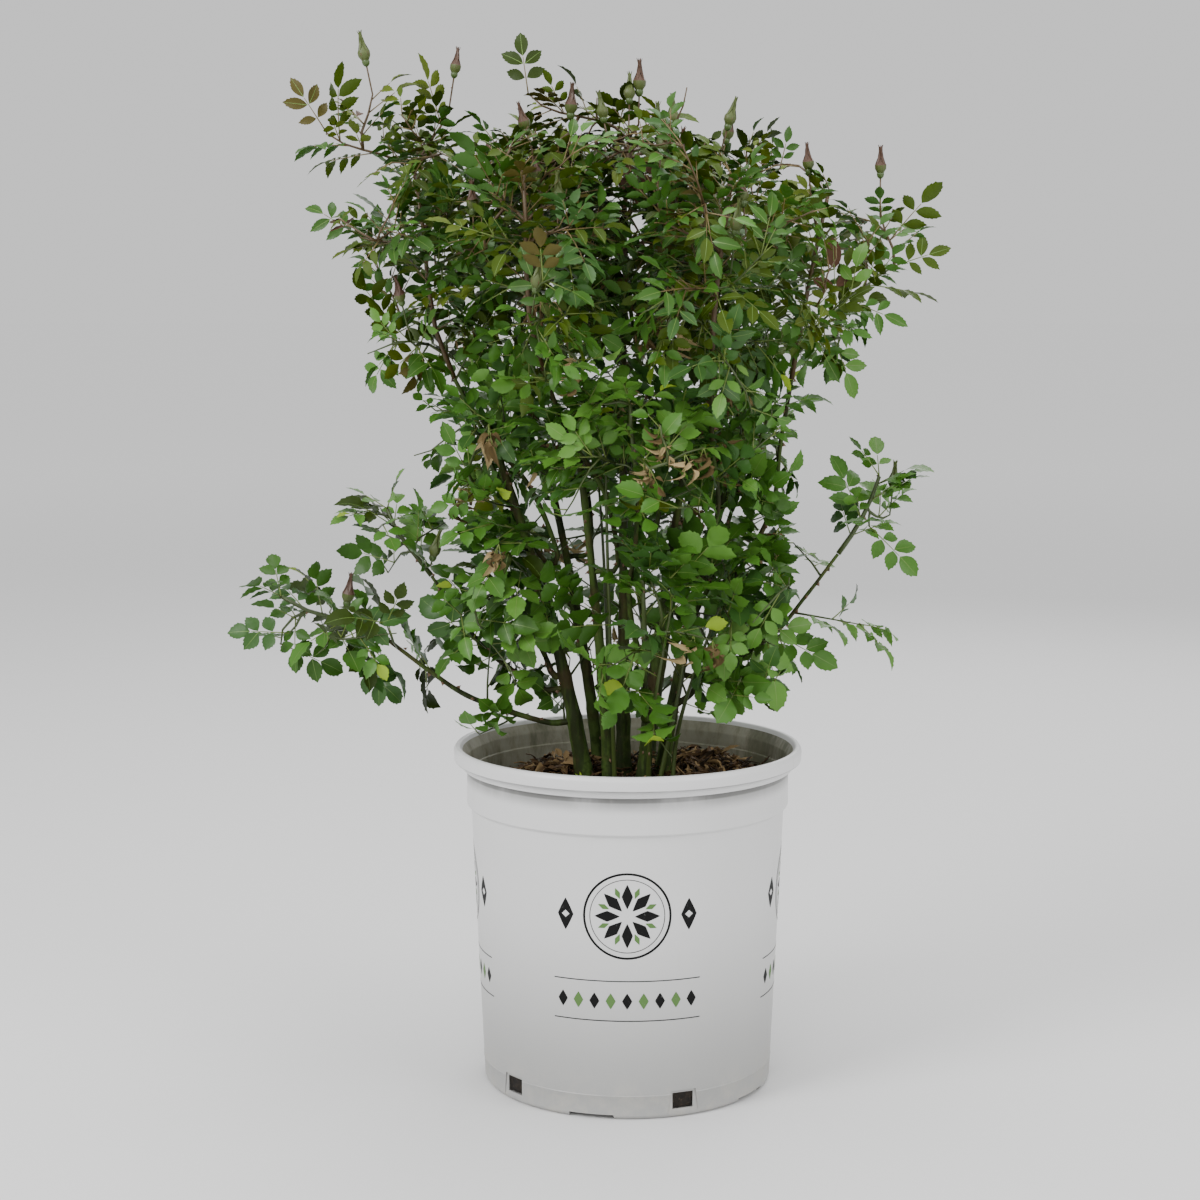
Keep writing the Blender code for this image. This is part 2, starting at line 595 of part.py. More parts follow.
def compound_leaf(root, heading, normal, pairs, size):
    # A stalk with an end leaflet and one or two pairs, as one closed body and its samples.
    # The upper and the lower side share the outline, and part at each leaflet's root.
    side = normal.cross(heading)
    stalk = (STALK_LENGTH if pairs == 2 else SHORT_STALK) * size
    blade = LEAFLET_LENGTH * size
    points, faces, samples = [], [], []

    def at(u, v, lift=0.0):
        return root + heading * u + side * v + normal * (lift - LEAF_ARCH * u * u - LEAF_DROOP * abs(v))

    def add(*places):
        points.extend(at(*place) for place in places)
        return range(len(points) - len(places), len(points))

    def stalk_to(ring, right, top, left, bottom):
        # The stalk's four strips, each in two faces.
        fresh = (right, top, left, bottom)
        for k in range(4):
            n = (k + 1) % 4
            faces.extend([(ring[k], fresh[k], fresh[n]), (ring[k], fresh[n], ring[n])])

    def leaflet(u, hand, tilt, length, near, far, top, bottom):
        # A kite between the outline points near and far of the stalk.
        out = Vector((math.cos(tilt), math.sin(tilt) * hand))
        over = Vector((-out.y, out.x)) * hand
        half = length * LEAFLET_WIDTH / 2
        wide, end = out * length * WIDEST, out * length
        kite = add((u + wide.x - over.x * half, wide.y - over.y * half), (u + end.x, end.y, -length * 0.05),
                   (u + wide.x + over.x * half, wide.y + over.y * half))
        outline = [near, *kite, far]
        for m, n in zip(outline, outline[1:]):
            faces.extend([(top, m, n), (bottom, n, m)])
        for share in (0.2, 0.4, 0.6, 0.8, 1.0):
            spread = half * (share / WIDEST if share < WIDEST else (1 - share) / (1 - WIDEST))
            for v in (-1, -0.5, 0, 0.5, 1):
                place = out * length * share + over * spread * v
                samples.append((*at(u + place.x, place.y), LEAF_THICK / 2))

    half, rise = STALK_HALF, LEAF_THICK / 2
    ring = add((0, -half), (0, 0, rise), (0, half), (0, 0, -rise))
    faces.extend([(ring[0], ring[1], ring[2]), (ring[0], ring[2], ring[3])])
    for share, scale in PAIRS[pairs]:
        u = stalk * share
        right, left = add((u - half, -half), (u - half, half))
        right_on, left_on = add((u + half, -half), (u + half, half))
        top, bottom = add((u, 0, rise), (u, 0, -rise))
        stalk_to(ring, right, top, left, bottom)
        leaflet(u, -1, PAIR_ANGLE, blade * scale, right_on, right, top, bottom)
        leaflet(u, 1, PAIR_ANGLE, blade * scale, left_on, left, top, bottom)
        ring = (right_on, top, left_on, bottom)
    right, top, left, bottom = add((stalk, -half), (stalk, 0, rise), (stalk, half), (stalk, 0, -rise))
    stalk_to(ring, right, top, left, bottom)
    leaflet(stalk, 1, 0.0, blade, right, left, top, bottom)
    return (points, faces), np.array(samples)


def bud(root, heading):
    # A pointed bud on its hip: a five-sided double cone.
    side = across(heading)
    other = heading.cross(side)
    points = [root]
    for n in range(5):
        angle = math.tau * n / 5
        points.append(root + heading * BUD_LENGTH * BUD_WAIST
                      + (side * math.cos(angle) + other * math.sin(angle)) * BUD_RADIUS)
    points.append(root + heading * BUD_LENGTH)
    faces = []
    for n in range(5):
        m = (n + 1) % 5
        faces += [(0, 1 + m, 1 + n), (6, 1 + n, 1 + m)]
    return points, faces


def grow_twig(mass, skeleton, end, arriving, free):
    # The shortest clear twig from the mass's own wood to a point, as a path with radii.
    ordered = sorted(skeleton, key=lambda row: (end - row[0]).length
                     + TURN_BACK * (row[1].dot(end - row[0]) < 0))
    for place, heading in ordered[:TWIG_ORIGINS]:
        away = end - place
        if away.length < TWIG_LEAST:
            continue
        leaving = (heading * 0.6 + away.normalized()).normalized()
        finishing = (arriving + away.normalized()).normalized()
        path = curve(place, leaving, end, finishing, 3 if away.length > TWIG_LONG else 2)
        radii = [TWIG_FOOT_RADIUS + (TWIG_TIP_RADIUS - TWIG_FOOT_RADIUS) * k / (len(path) - 1)
                 for k in range(len(path))]
        samples = spaced(path, radii)
        outer = beyond(samples, place, ROOT_FREE)
        if len(outer) and in_space(samples, mass, TWIG_TO_SPACE, free) \
                and is_clear(outer, mass["limbs"], TWIG_TO_LIMB) \
                and is_clear(outer, mass["wood"], TWIG_TO_TWIG):
            return path, radii, samples
    return None


def any_way(rule):
    # An even random direction.
    z = rule.uniform(-1, 1)
    angle = rule.uniform(0, math.tau)
    ring = math.sqrt(1 - z * z)
    return Vector((ring * math.cos(angle), ring * math.sin(angle), z))


def fits(mass, root, samples, free):
    outer = beyond(samples, root, ROOT_FREE)
    return in_space(samples, mass, LEAF_TO_SPACE, free) and is_clear(samples, mass["limbs"], LEAF_TO_LIMB) \
        and is_clear(outer, mass["wood"], LEAF_TO_TWIG) and is_clear(outer, mass["blades"], LEAF_TO_LEAF)


def face_for(aim, outward, rule):
    # The upper side of a leaf looks up and out of the crown.
    up, out, chance = NORMAL_MIX
    normal = Vector((0, 0, up)) + outward * out + any_way(rule) * chance
    return (normal - aim * normal.dot(aim)).normalized()


def add_leaf(mass, made, samples):
    mass["pieces"].append(made)
    mass["blades"] = np.vstack([mass["blades"], samples])


def leaf_to(mass, tip, skeleton, rule):
    # A leaf straight from the mass's own wood to a point, sized to end there.
    for place, heading in sorted(skeleton, key=lambda row: (tip - row[0]).length)[:8]:
        aim = tip - place
        for pairs, stalk in ((2, STALK_LENGTH), (1, SHORT_STALK)):
            size = aim.length / (stalk + LEAFLET_LENGTH)
            if not SHOOT_LEAF_SIZES[0] < size < SHOOT_LEAF_SIZES[1] or aim.normalized().dot(heading) < -0.2:
                continue
            outward = (tip - mass["heart"]).normalized()
            for _ in range(8):
                normal = face_for(aim.normalized(), outward, rule)
                made, samples = compound_leaf(place, aim.normalized(), normal, pairs, size)
                if fits(mass, place, samples, True):
                    add_leaf(mass, made, samples)
                    return True
    return False


def best_leaf(mass, rule, centres):
    # Of many chance leaves on the mass's own wood, the one that stands furthest from all others.
    best = None
    along, out, chance = AIM_MIX
    for _ in range(LEAF_TRIES):
        path = rule.choice(mass["twigs"])
        place_on = rule.uniform(0.15, 1.0) * (len(path) - 1)
        step = min(int(place_on), len(path) - 2)
        heading = (path[step + 1] - path[step]).normalized()
        place = path[step].lerp(path[step + 1], place_on - step)
        outward = (place - mass["heart"] + Vector((0, 0, 0.01))).normalized()
        aim = (heading * along + outward * out + any_way(rule) * chance).normalized()
        if abs(aim.dot(heading)) > SIDE_BY_SIDE:
            continue
        pairs, size = rule.choice(LEAF_KINDS)
        made, samples = compound_leaf(place, aim, face_for(aim, outward, rule), pairs, size)
        centre = samples[:, :3].mean(axis=0)
        apart = min((float(np.linalg.norm(centre - other)) for other in centres), default=0.1)
        out_by = float(np.linalg.norm(centre - np.array(mass["heart"])))
        score = min(apart, APART_MOST) + OUTER_WORTH * out_by + FULL_LEAF_WORTH * (pairs == 2)
        if (best is None or score > best[0]) and fits(mass, place, samples, False):
            best = (score, made, samples, centre)
    if best is None:
        return False
    add_leaf(mass, best[1], best[2])
    centres.append(best[3])
    return True


def grow_stem(name, mass, rule):
    # The stem carries the bough on towards the heart and past it, clear of the other limbs.
    bough = mass["bough"]
    heading = headings(bough["path"])[-1]
    start = bough["path"][-1] + heading * GAP
    radius = bough["radii"][-1] * STEM_FOOT_SHARE
    radii = [radius + (STEM_TIP_RADIUS - radius) * k / STEM_STEPS for k in range(STEM_STEPS + 1)]
    rising = heading
    if mass["reach"].z > mass["reach"].x:
        rising = Vector((mass["heart"].x * STEM_SPREAD, mass["heart"].y * STEM_SPREAD, 1)).normalized()
    for trial in range(STEM_TRIES):
        way = (rising + any_way(rule) * (STEM_STRAY * trial)).normalized()
        end = mass["heart"] + Vector(t * r for t, r in zip(way, mass["reach"])) * STEM_SHARE
        path = curve(start, heading, end, way, STEM_STEPS)
        samples = spaced(path, radii)
        if is_clear(samples, mass["limbs"], TWIG_TO_LIMB) \
                and in_space(samples[STEM_FREE:], mass, TWIG_TO_SPACE, True):
            return path, samples, tube(path, radii, STEM_SIDES, heading)
    raise ValueError("no clear stem for " + name)


def grow_wood(name, mass, rule):
    # The stem of a mass, its twigs and its outstanding shoots.
    path, mass["wood"], mass["stem"] = grow_stem(name, mass, rule)
    mass["blades"] = np.zeros((0, 4))
    mass["pieces"] = []
    mass["twigs"] = [path]
    skeleton = [(place, aim) for place, aim in zip(path[1:], headings(path)[1:])]
    skeleton += [(a.lerp(b, 0.5), (b - a).normalized()) for a, b in zip(path, path[1:])]
    up = Vector((0, 0, 1))
    wanted = mass["shoots"] + [(place, "") for place in targets(mass, round(mass["reach"].z * TWIG_SHARE))]
    wanted.sort(key=lambda row: (row[1] == "", (row[0] - path[0]).length))
    for tip, kind in wanted:
        if kind == "leaf" and leaf_to(mass, tip, skeleton, rule):
            continue
        out = (tip - mass["heart"]).normalized()
        ways = {"bud": (out * 0.35 + up, up, out + up * 0.5), "": (out + up * 0.15,),
                "leaf": (out + up * 0.15, out + up * 0.8, out - up * 0.5)}[kind]
        back = {"bud": BUD_LENGTH - SINK, "leaf": LEAF_BACK, "": 0}[kind]
        for way in ways:
            arriving = way.normalized()
            grown = grow_twig(mass, skeleton, tip - arriving * back, arriving, bool(kind))
            if grown:
                break
        else:
            if kind:
                print("no room for a shoot of", name, tip)
            continue
        twig, radii_out, samples = grown
        mass["pieces"].append(tube(twig, radii_out, 3))
        if kind == "bud":
            aim = headings(twig)[-1]
            mass["pieces"].append(bud(twig[-1] - aim * SINK, aim))
        mass["wood"] = np.vstack([mass["wood"], samples])
        skeleton += [(p, h) for p, h in zip(twig[1:], headings(twig)[1:])]
        mass["twigs"].append(twig)
        if kind == "leaf":
            end = twig[-1] - headings(twig)[-1] * SINK
            if not leaf_to(mass, tip, [(end, headings(twig)[-1])], rule):
                print("no leaf at the end of a shoot of", name, tip)


def grow_crown(masses, limbs):
    # Wood first, then the leaves in rounds, one to each mass, so that neighbours keep even.
    rules = {name: random.Random(f"{SEED} {name}") for name in masses}
    shares = {name: mass["reach"].x * (mass["reach"].z + 0.05) for name, mass in masses.items()}
    whole = sum(shares.values())
    for name, mass in masses.items():
        tip = mass["bough"]["path"][-1]
        samples = [limb["samples"] for limb in limbs if limb is not mass["bough"]]
        samples = np.vstack(samples + [beyond(mass["bough"]["samples"], tip, 0.006)])
        near = np.linalg.norm(samples[:, :3] - np.array(mass["heart"]), axis=1) < LIMB_NEAR
        mass["limbs"] = samples[near]
        grow_wood(name, mass, rules[name])
        mass["quota"] = round(LEAF_COUNT * shares[name] / whole)
    centres = []
    for turn in range(max(mass["quota"] for mass in masses.values())):
        for name, mass in masses.items():
            if turn < mass["quota"]:
                best_leaf(mass, rules[name], centres)


def make_mass(name, mass):
    # One union joins the stem, twigs, leaves and buds. If it fails, one leaf is left off.
    for dropped in (None, *reversed(range(len(mass["pieces"])))):
        thing = add_object("foliage_" + name, mesh_of(name, *mass["stem"]), "leaf")
        group = bpy.data.collections.new("pieces_" + name)
        for k, (points, faces) in enumerate(mass["pieces"]):
            if k != dropped:
                piece = f"piece_{k}"
                group.objects.link(bpy.data.objects.new(piece, mesh_of(piece, points, faces)))
        if join_or_cut(thing, group, "UNION"):
            break
        bpy.data.objects.remove(thing)
    thing.data.shade_flat()
    print(name, "pieces", len(mass["pieces"]), "without", dropped, "triangles", len(thing.data.polygons))


def main():
    clear_scene()
    make_pot()
    make_soil()
    masses = set_out_masses()
    limbs = make_boughs(make_canes(), masses)
    grow_crown(masses, limbs)
    for name, mass in masses.items():
        make_mass(name, mass)


main()
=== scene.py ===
# A potted shrub rose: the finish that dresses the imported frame.
# Metres, +Z up, the front is -Y. Run inside Blender 4.5.
import json
import math
import random

import bmesh
import bpy
import numpy as np
from mathutils import Matrix, Vector, noise

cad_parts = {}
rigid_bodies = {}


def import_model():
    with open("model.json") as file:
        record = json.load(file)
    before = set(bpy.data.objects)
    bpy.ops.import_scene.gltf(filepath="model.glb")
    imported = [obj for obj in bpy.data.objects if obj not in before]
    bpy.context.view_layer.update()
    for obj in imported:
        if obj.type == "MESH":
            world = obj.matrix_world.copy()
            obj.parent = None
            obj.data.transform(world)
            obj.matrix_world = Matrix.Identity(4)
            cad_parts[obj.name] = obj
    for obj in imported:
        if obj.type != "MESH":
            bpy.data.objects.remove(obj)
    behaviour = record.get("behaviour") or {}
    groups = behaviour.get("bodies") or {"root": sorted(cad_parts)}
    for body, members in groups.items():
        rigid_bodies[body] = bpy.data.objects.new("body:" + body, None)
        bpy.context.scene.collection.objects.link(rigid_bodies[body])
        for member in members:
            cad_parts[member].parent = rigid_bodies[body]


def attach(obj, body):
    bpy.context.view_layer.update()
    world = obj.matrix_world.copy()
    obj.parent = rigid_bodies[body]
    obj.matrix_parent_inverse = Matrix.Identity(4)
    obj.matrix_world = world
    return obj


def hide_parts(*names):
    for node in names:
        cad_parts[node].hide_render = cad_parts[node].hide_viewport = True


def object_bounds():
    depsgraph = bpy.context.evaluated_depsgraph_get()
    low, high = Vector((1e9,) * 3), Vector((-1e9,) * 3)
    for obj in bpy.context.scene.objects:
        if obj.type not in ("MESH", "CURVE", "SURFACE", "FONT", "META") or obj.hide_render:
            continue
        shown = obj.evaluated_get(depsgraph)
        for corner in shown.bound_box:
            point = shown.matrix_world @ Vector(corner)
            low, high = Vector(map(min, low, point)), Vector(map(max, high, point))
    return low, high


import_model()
cadLow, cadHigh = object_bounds()
golden = math.pi * (3 - math.sqrt(5))
up = Vector((0, 0, 1))
hint = Vector((0.31, 0.17, 0.93))  # a way that hardly any limb runs
weld = 0.00001


# Shader maths as plain expressions

class Flow:
    # a socket of a material's nodes, or a number
    def __init__(self, paint, socket):
        self.paint, self.socket = paint, socket

    def maths(self, operation, a, b=0.0):
        return self.paint.node("Math", {"operation": operation}, {0: a, 1: b})

    def __add__(self, other):
        return self.maths("ADD", self, other)

    def __sub__(self, other):
        return self.maths("SUBTRACT", self, other)

    def __rsub__(self, other):
        return self.maths("SUBTRACT", other, self)

    def __mul__(self, other):
        return self.maths("MULTIPLY", self, other)

    __radd__ = __add__
    __rmul__ = __mul__

    def clipped(self):
        return self.maths("MINIMUM", self.maths("MAXIMUM", self, 0.0), 1.0)

    def between(self, low, high):
        # 0 below low, 1 above high, smooth on the way
        return self.paint.node("MapRange", {"interpolation_type": "SMOOTHSTEP"},
                               {"Value": self, "From Min": low, "From Max": high})


class Paint:
    # one material, built from its nodes
    def __init__(self, name, base, roughness, **fixed):
        self.material = bpy.data.materials.new(name)
        self.material.use_nodes = True
        self.tree = self.material.node_tree
        self.shader = self.tree.nodes["Principled BSDF"]
        self.feed(self.shader.inputs["Base Color"], base)
        self.feed(self.shader.inputs["Roughness"], roughness)
        for socket, value in fixed.items():
            self.feed(self.shader.inputs[socket.replace("_", " ")], value)

    def feed(self, socket, value):
        if isinstance(value, Flow):
            self.tree.links.new(value.socket, socket)
        elif isinstance(value, tuple) and socket.type == "RGBA":
            socket.default_value = (*value, 1.0)
        else:
            socket.default_value = value

    def node(self, kind, settings=None, values=None, out=0):
        made = self.tree.nodes.new("ShaderNode" + kind)
        for key, value in (settings or {}).items():
            if key == "stops":
                self.setStops(made.color_ramp, value)
            else:
                setattr(made, key, value)
        for key, value in (values or {}).items():
            self.feed(made.inputs[key], value)
        return Flow(self, made.outputs[out])

    def setStops(self, ramp, stops):
        for k, (place, colour) in enumerate(stops):
            stop = ramp.elements[k] if k < 2 else ramp.elements.new(place)
            stop.position = place
            stop.color = (*colour, 1.0)

    def place(self, stretch=(1, 1, 1)):
        # object coordinates, stretched
        where = self.node("TexCoord", out="Object")
        return self.node("VectorMath", {"operation": "MULTIPLY"}, {0: where, 1: stretch})

    def height(self):
        return self.node("SeparateXYZ", values={0: self.node("TexCoord", out="Object")}, out="Z")

    def cloud(self, scale, detail=4.0, roughness=0.55, stretch=(1, 1, 1)):
        return self.node("TexNoise", values={"Vector": self.place(stretch), "Scale": scale,
                                             "Detail": detail, "Roughness": roughness})

    def ramp(self, flow, stops):
        return self.node("ValToRGB", {"stops": stops}, {0: flow})

    def blend(self, mask, first, second):
        return self.node("Mix", {"data_type": "RGBA"}, {0: mask, 6: first, 7: second}, out=2)

    def colour(self, value):
        self.feed(self.shader.inputs["Base Color"], value)

    def rough(self, value):
        self.feed(self.shader.inputs["Roughness"], value)

    def relief(self, flow, depth):
        bump = self.node("Bump", values={"Height": flow, "Strength": 1.0, "Distance": depth})
        self.feed(self.shader.inputs["Normal"], bump)


# Meshes

def meshFrom(name, points, faces, smooth=True):
    # faces is an array of triangles, or a list of faces of any size
    mesh = bpy.data.meshes.new(name)
    faces = faces.tolist() if isinstance(faces, np.ndarray) else faces
    mesh.from_pydata(np.asarray(points).tolist(), [], faces)
    mesh.polygons.foreach_set("use_smooth", [smooth] * len(mesh.polygons))
    mesh.update()
    return mesh


def addPiece(name, mesh, paint, slotName, *nodes):
    thing = bpy.data.objects.new(name, mesh)
    bpy.context.scene.collection.objects.link(thing)
    mesh.materials.clear()
    mesh.materials.append(paint.material)
    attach(thing, "root")
    if nodes:
        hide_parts(*nodes)
    return thing


def faceOut(mesh, merge=0.0):
    # joins points closer than merge and turns every face outward
    form = bmesh.new()
    form.from_mesh(mesh)
    if merge:
        bmesh.ops.remove_doubles(form, verts=form.verts, dist=merge)
    bmesh.ops.recalc_face_normals(form, faces=form.faces)
    form.to_mesh(mesh)
    form.free()
    return mesh


def turns(count):
    # the angles of one full turn in even steps
    return [math.tau * n / count for n in range(count)]


def swung(side, other, angle):
    return side * math.cos(angle) + other * math.sin(angle)


def sleeve(rings, sides):
    # the quads between rings of points
    return [(k + n, k + (n + 1) % sides, k + sides + (n + 1) % sides, k + sides + n)
            for k in range(0, (rings - 1) * sides, sides) for n in range(sides)]


def closedSleeve(rings, sides):
    last = (rings - 1) * sides
    return [*sleeve(rings, sides), tuple(reversed(range(sides))), tuple(range(last, last + sides))]


class Heap:
    # gathers many small shapes that share a material into one mesh
    def __init__(self):
        self.points, self.faces, self.size = [], [], 0

    def add(self, points, faces):
        self.points.append(np.asarray(points, dtype=float).reshape(-1, 3))
        self.faces += [tuple(v + self.size for v in face) for face in faces]
        self.size += len(self.points[-1])

    def piece(self, name, paint, slotName, *nodes, smooth=True):
        mesh = meshFrom(name, np.vstack(self.points), self.faces, smooth)
        return addPiece(name, mesh, paint, slotName, *nodes)


# The pot

pot = {
    "height": 0.255, "rimRadius": 0.1303, "rimHeight": 0.0105, "rimWidth": 0.0055,
    "bandRadius": 0.1245, "bandHeight": 0.0065, "collarRadius": 0.1204, "collarFoot": 0.2115,
    "bodyTop": 0.1171, "bodyFoot": 0.1080, "ledge": 0.0020, "corner": 0.0025, "wall": 0.0020,
    "floor": 0.0025, "channel": 0.0040, "channelInner": 0.0825, "channelOuter": 0.0985, "sides": 160,
    "drains": 5, "firstDrain": math.radians(-68), "holeWidth": 0.0160, "holeFoot": 0.0065,
    "holeHeight": 0.0120,
    "frameTop": 0.0190, "frameFoot": 0.0250, "frameHeight": 0.0185, "frameDepth": 0.0010,
    "frameOver": 0.0020, "notchWidth": 0.0360, "notchHeight": 0.0037, "notchTaper": 0.0030,
    "holeIn": 0.001, "notchIn": -0.003, "cutOver": 0.01, "inwardBelow": -0.02,
    "sharpAngle": math.radians(35),
    "bead": ((0.0170, 0.0170, 0), (0.0172, 0.0174, 0.0003), (0.0180, 0.0180, 0.0003), (0.0184, 0.0184, 0)),
    "grimeFoot": 0.150, "grimeTop": 0.0030, "grime": (0.31, 0.30, 0.23), "moss": (0.13, 0.13, 0.08),
    "runMark": (0.30, 0.29, 0.23),
    "plastic": (0.63, 0.63, 0.63), "dust": (0.47, 0.45, 0.40), "shade": (0.62, 0.62, 0.61),
    # the wall colour darkens towards the foot: painted shade
    "footShade": (0.27, 0.27, 0.26), "footShadeFoot": 0.01, "footShadeTop": 0.17,
    # dark bands under the rim and at the step between band and rim: painted shadow
    "rimShadow": (0.13, 0.13, 0.125), "rimShadows": (
        (0.2250, 0.2350, 0.2378, 0.2384, 0.62), (0.2340, 0.2354, 0.2380, 0.2386, 0.95),
        (0.2430, 0.2437, 0.2448, 0.2454, 0.74)),
}


def bodyRadius(z):
    return pot["bodyFoot"] + (pot["bodyTop"] - pot["bodyFoot"]) * z / pot["collarFoot"]


def rounded(corners, steps=4):
    # a turned profile whose corners (r, z, rounding) become short curves
    path = []
    for k, (r, z, size) in enumerate(corners):
        here = Vector((r, z))
        if size == 0:
            path.append(here)
            continue
        before = Vector(corners[k - 1][:2]) - here
        after = Vector(corners[k + 1][:2]) - here
        size = min(size, before.length * 0.45, after.length * 0.45)
        start, end = here + before.normalized() * size, here + after.normalized() * size
        for n in range(steps + 1):
            t = n / steps
            path.append(start * (1 - t) ** 2 + here * 2 * t * (1 - t) + end * t * t)
    return path


def potCorners():
    # from the middle of the underside out, up and back down inside: (radius, height, rounding)
    p = pot
    rimFoot = p["height"] - p["rimHeight"]
    bandFoot = rimFoot - p["bandHeight"]
    mouth = p["rimRadius"] - p["rimWidth"]
    floorTop = p["channel"] + p["wall"]
    inner = p["collarRadius"] - p["wall"]
    return [
        (0, 0, 0), (p["channelInner"] - p["corner"], 0, 0.001), (p["channelInner"], p["channel"], 0.001),
        (p["channelOuter"], p["channel"], 0.001), (p["channelOuter"] + p["corner"], 0, 0.0008),
        (p["bodyFoot"] - p["corner"], 0, 0.0012), (p["bodyFoot"], p["corner"], 0.0012),
        *[(bodyRadius(at) + proud, z, 0) for at, z, proud in p["bead"]],
        (p["bodyTop"], p["collarFoot"] - p["ledge"], 0.0010), (p["collarRadius"], p["collarFoot"], 0.0008),
        (p["collarRadius"], bandFoot, 0.0006), (p["bandRadius"] - 0.0006, bandFoot + 0.0010, 0.0006),
        (p["bandRadius"] - 0.0006, bandFoot + 0.0030, 0.0004), (p["bandRadius"], bandFoot + 0.0036, 0.0004),
        (p["bandRadius"], rimFoot - 0.0004, 0.0004), (p["bandRadius"] - 0.0020, rimFoot, 0.0004),
        (p["rimRadius"] - 0.0004, rimFoot, 0.0008), (p["rimRadius"], p["height"] - 0.0030, 0.0012),
        (p["rimRadius"] - 0.0018, p["height"], 0.0012), (mouth + 0.0008, p["height"], 0.0010),
        (mouth - 0.0006, p["height"] - 0.0022, 0.0010), (inner + 0.0018, p["height"] - 0.0100, 0.0010),
        (inner + 0.0008, bandFoot, 0.0010), (inner + 0.0006, bandFoot - 0.0030, 0.0004),
        (inner - 0.0002, bandFoot - 0.0036, 0.0004), (inner, p["collarFoot"] + 0.0010, 0.0010),
        (p["bodyTop"] - p["wall"], p["collarFoot"] - p["ledge"] - 0.0010, 0.0010),
        (bodyRadius(floorTop) - p["wall"], floorTop, 0.0010), (p["channelInner"] - 0.0020, floorTop, 0.0010),
        (p["channelInner"] - 0.0050, p["floor"], 0.0010), (0, p["floor"], 0),
    ]


def turned(name, path, sides):
    form = bmesh.new()
    verts = [form.verts.new((p[0], 0, p[1])) for p in path]
    edges = [form.edges.new(pair) for pair in zip(verts, verts[1:])]
    bmesh.ops.spin(form, geom=verts + edges, cent=(0, 0, 0), axis=(0, 0, 1), angle=math.tau, steps=sides)
    bmesh.ops.remove_doubles(form, verts=form.verts, dist=weld)
    bmesh.ops.recalc_face_normals(form, faces=form.faces)
    mesh = bpy.data.meshes.new(name)
    form.to_mesh(mesh)
    form.free()
    return mesh


def wedge(near, far, foot, top, footWidth, topWidth, angle):
    # a block across the wall, turned to an angle about the axis
    turn = Matrix.Rotation(angle, 3, "Z")
    points = []
    for r in (near, far):
        for z, width in ((foot, footWidth), (top, topWidth)):
            points += [turn @ Vector((r, -width / 2, z)), turn @ Vector((r, width / 2, z))]
    faces = [(0, 1, 3, 2), (4, 6, 7, 5), (0, 4, 5, 1), (2, 3, 7, 6), (0, 2, 6, 4), (1, 5, 7, 3)]
    return bpy.data.objects.new("drainCutter", faceOut(meshFrom("drainCutter", points, faces, smooth=False)))


def cutDrains(thing):
    # openings with a sunk frame round the foot, and a notch between each two
    p = pot
    cutters = bpy.data.collections.new("drainCutters")
    holeTop = p["holeFoot"] + p["holeHeight"]
    frameTop = p["holeFoot"] + p["holeHeight"] + p["frameOver"]
    frameFoot = frameTop - p["frameHeight"]
    outer = bodyRadius(frameTop) + p["cutOver"]
    for k in range(p["drains"]):
        angle = p["firstDrain"] + k * math.tau / p["drains"]
        for cutter in (
                wedge(p["channelOuter"] + p["holeIn"], outer, p["holeFoot"], holeTop,
                      p["holeWidth"], p["holeWidth"], angle),
                wedge(bodyRadius(frameFoot) - p["frameDepth"], outer, frameFoot, frameTop,
                      p["frameFoot"], p["frameTop"], angle),
                wedge(p["channelOuter"] + p["notchIn"], outer, -p["cutOver"], p["notchHeight"],
                      p["notchWidth"], p["notchWidth"] - p["notchTaper"], angle + math.pi / p["drains"])):
            cutters.objects.link(cutter)
    step = thing.modifiers.new("drains", "BOOLEAN")
    step.operation, step.operand_type, step.collection = "DIFFERENCE", "COLLECTION", cutters
    bpy.context.view_layer.update()
    cut = bpy.data.meshes.new_from_object(thing.evaluated_get(bpy.context.evaluated_depsgraph_get()))
    thing.modifiers.clear()
    thing.data = cut
    for cutter in list(cutters.objects):
        bpy.data.objects.remove(cutter)
    bpy.data.collections.remove(cutters)


def whitePlastic():
    paint = Paint("whitePlastic", pot["plastic"], 0.4, Specular_IOR_Level=0.5)
    mottle = paint.cloud(14, 5, 0.6)
    scuffs = paint.cloud(90, 3, 0.7, (1, 1, 0.12)).between(0.63, 0.74)
    lowDust = (1 - paint.height().between(0.002, 0.045)) * paint.cloud(60, 6, 0.7).between(0.42, 0.66)
    tone = paint.blend(mottle.between(0.35, 0.7) * 0.35, pot["plastic"], pot["shade"])
    # darker towards the foot: painted shade
    footShade = 1 - paint.height().between(pot["footShadeFoot"], pot["footShadeTop"])
    tone = paint.blend(footShade * 0.8, tone, pot["footShade"])
    # dark lines under the rim and at the step between band and rim, broken into patches: painted shadow
    patchy = paint.cloud(30, 4, 0.6, (1, 1, 0.3)).between(0.25, 0.55) * 0.5 + 0.5
    for foot, full, level, top, strength in pot["rimShadows"]:
        line = (paint.height().between(foot, full) - paint.height().between(level, top)).clipped()
        tone = paint.blend(line * patchy * strength, tone, pot["rimShadow"])
    tone = paint.blend((lowDust * 0.5 + scuffs * 0.10).clipped(), tone, pot["dust"])
    paint.colour(tone)
    paint.rough(mottle * 0.10 + scuffs * 0.15 + lowDust * 0.25 + 0.30)
    paint.relief(paint.cloud(900, 2) * 0.5 + paint.cloud(25, 3), 0.00012)
    return paint


def grimyPlastic():
    # the inner wall above the soil, stained by water and algae
    paint = Paint("grimyPlastic", pot["grime"], 0.6)
    stain = paint.cloud(34, 6, 0.7, (1, 1, 0.4))
    runs = paint.cloud(120, 3, 0.6, (1, 1, 0.1)).between(0.55, 0.75)
    tone = paint.blend(stain.between(0.38, 0.64), pot["grime"], pot["moss"])
    paint.colour(paint.blend(runs * 0.35, tone, pot["runMark"]))
    paint.rough(stain * 0.3 + 0.4)
    paint.relief(stain, 0.0003)
    return paint


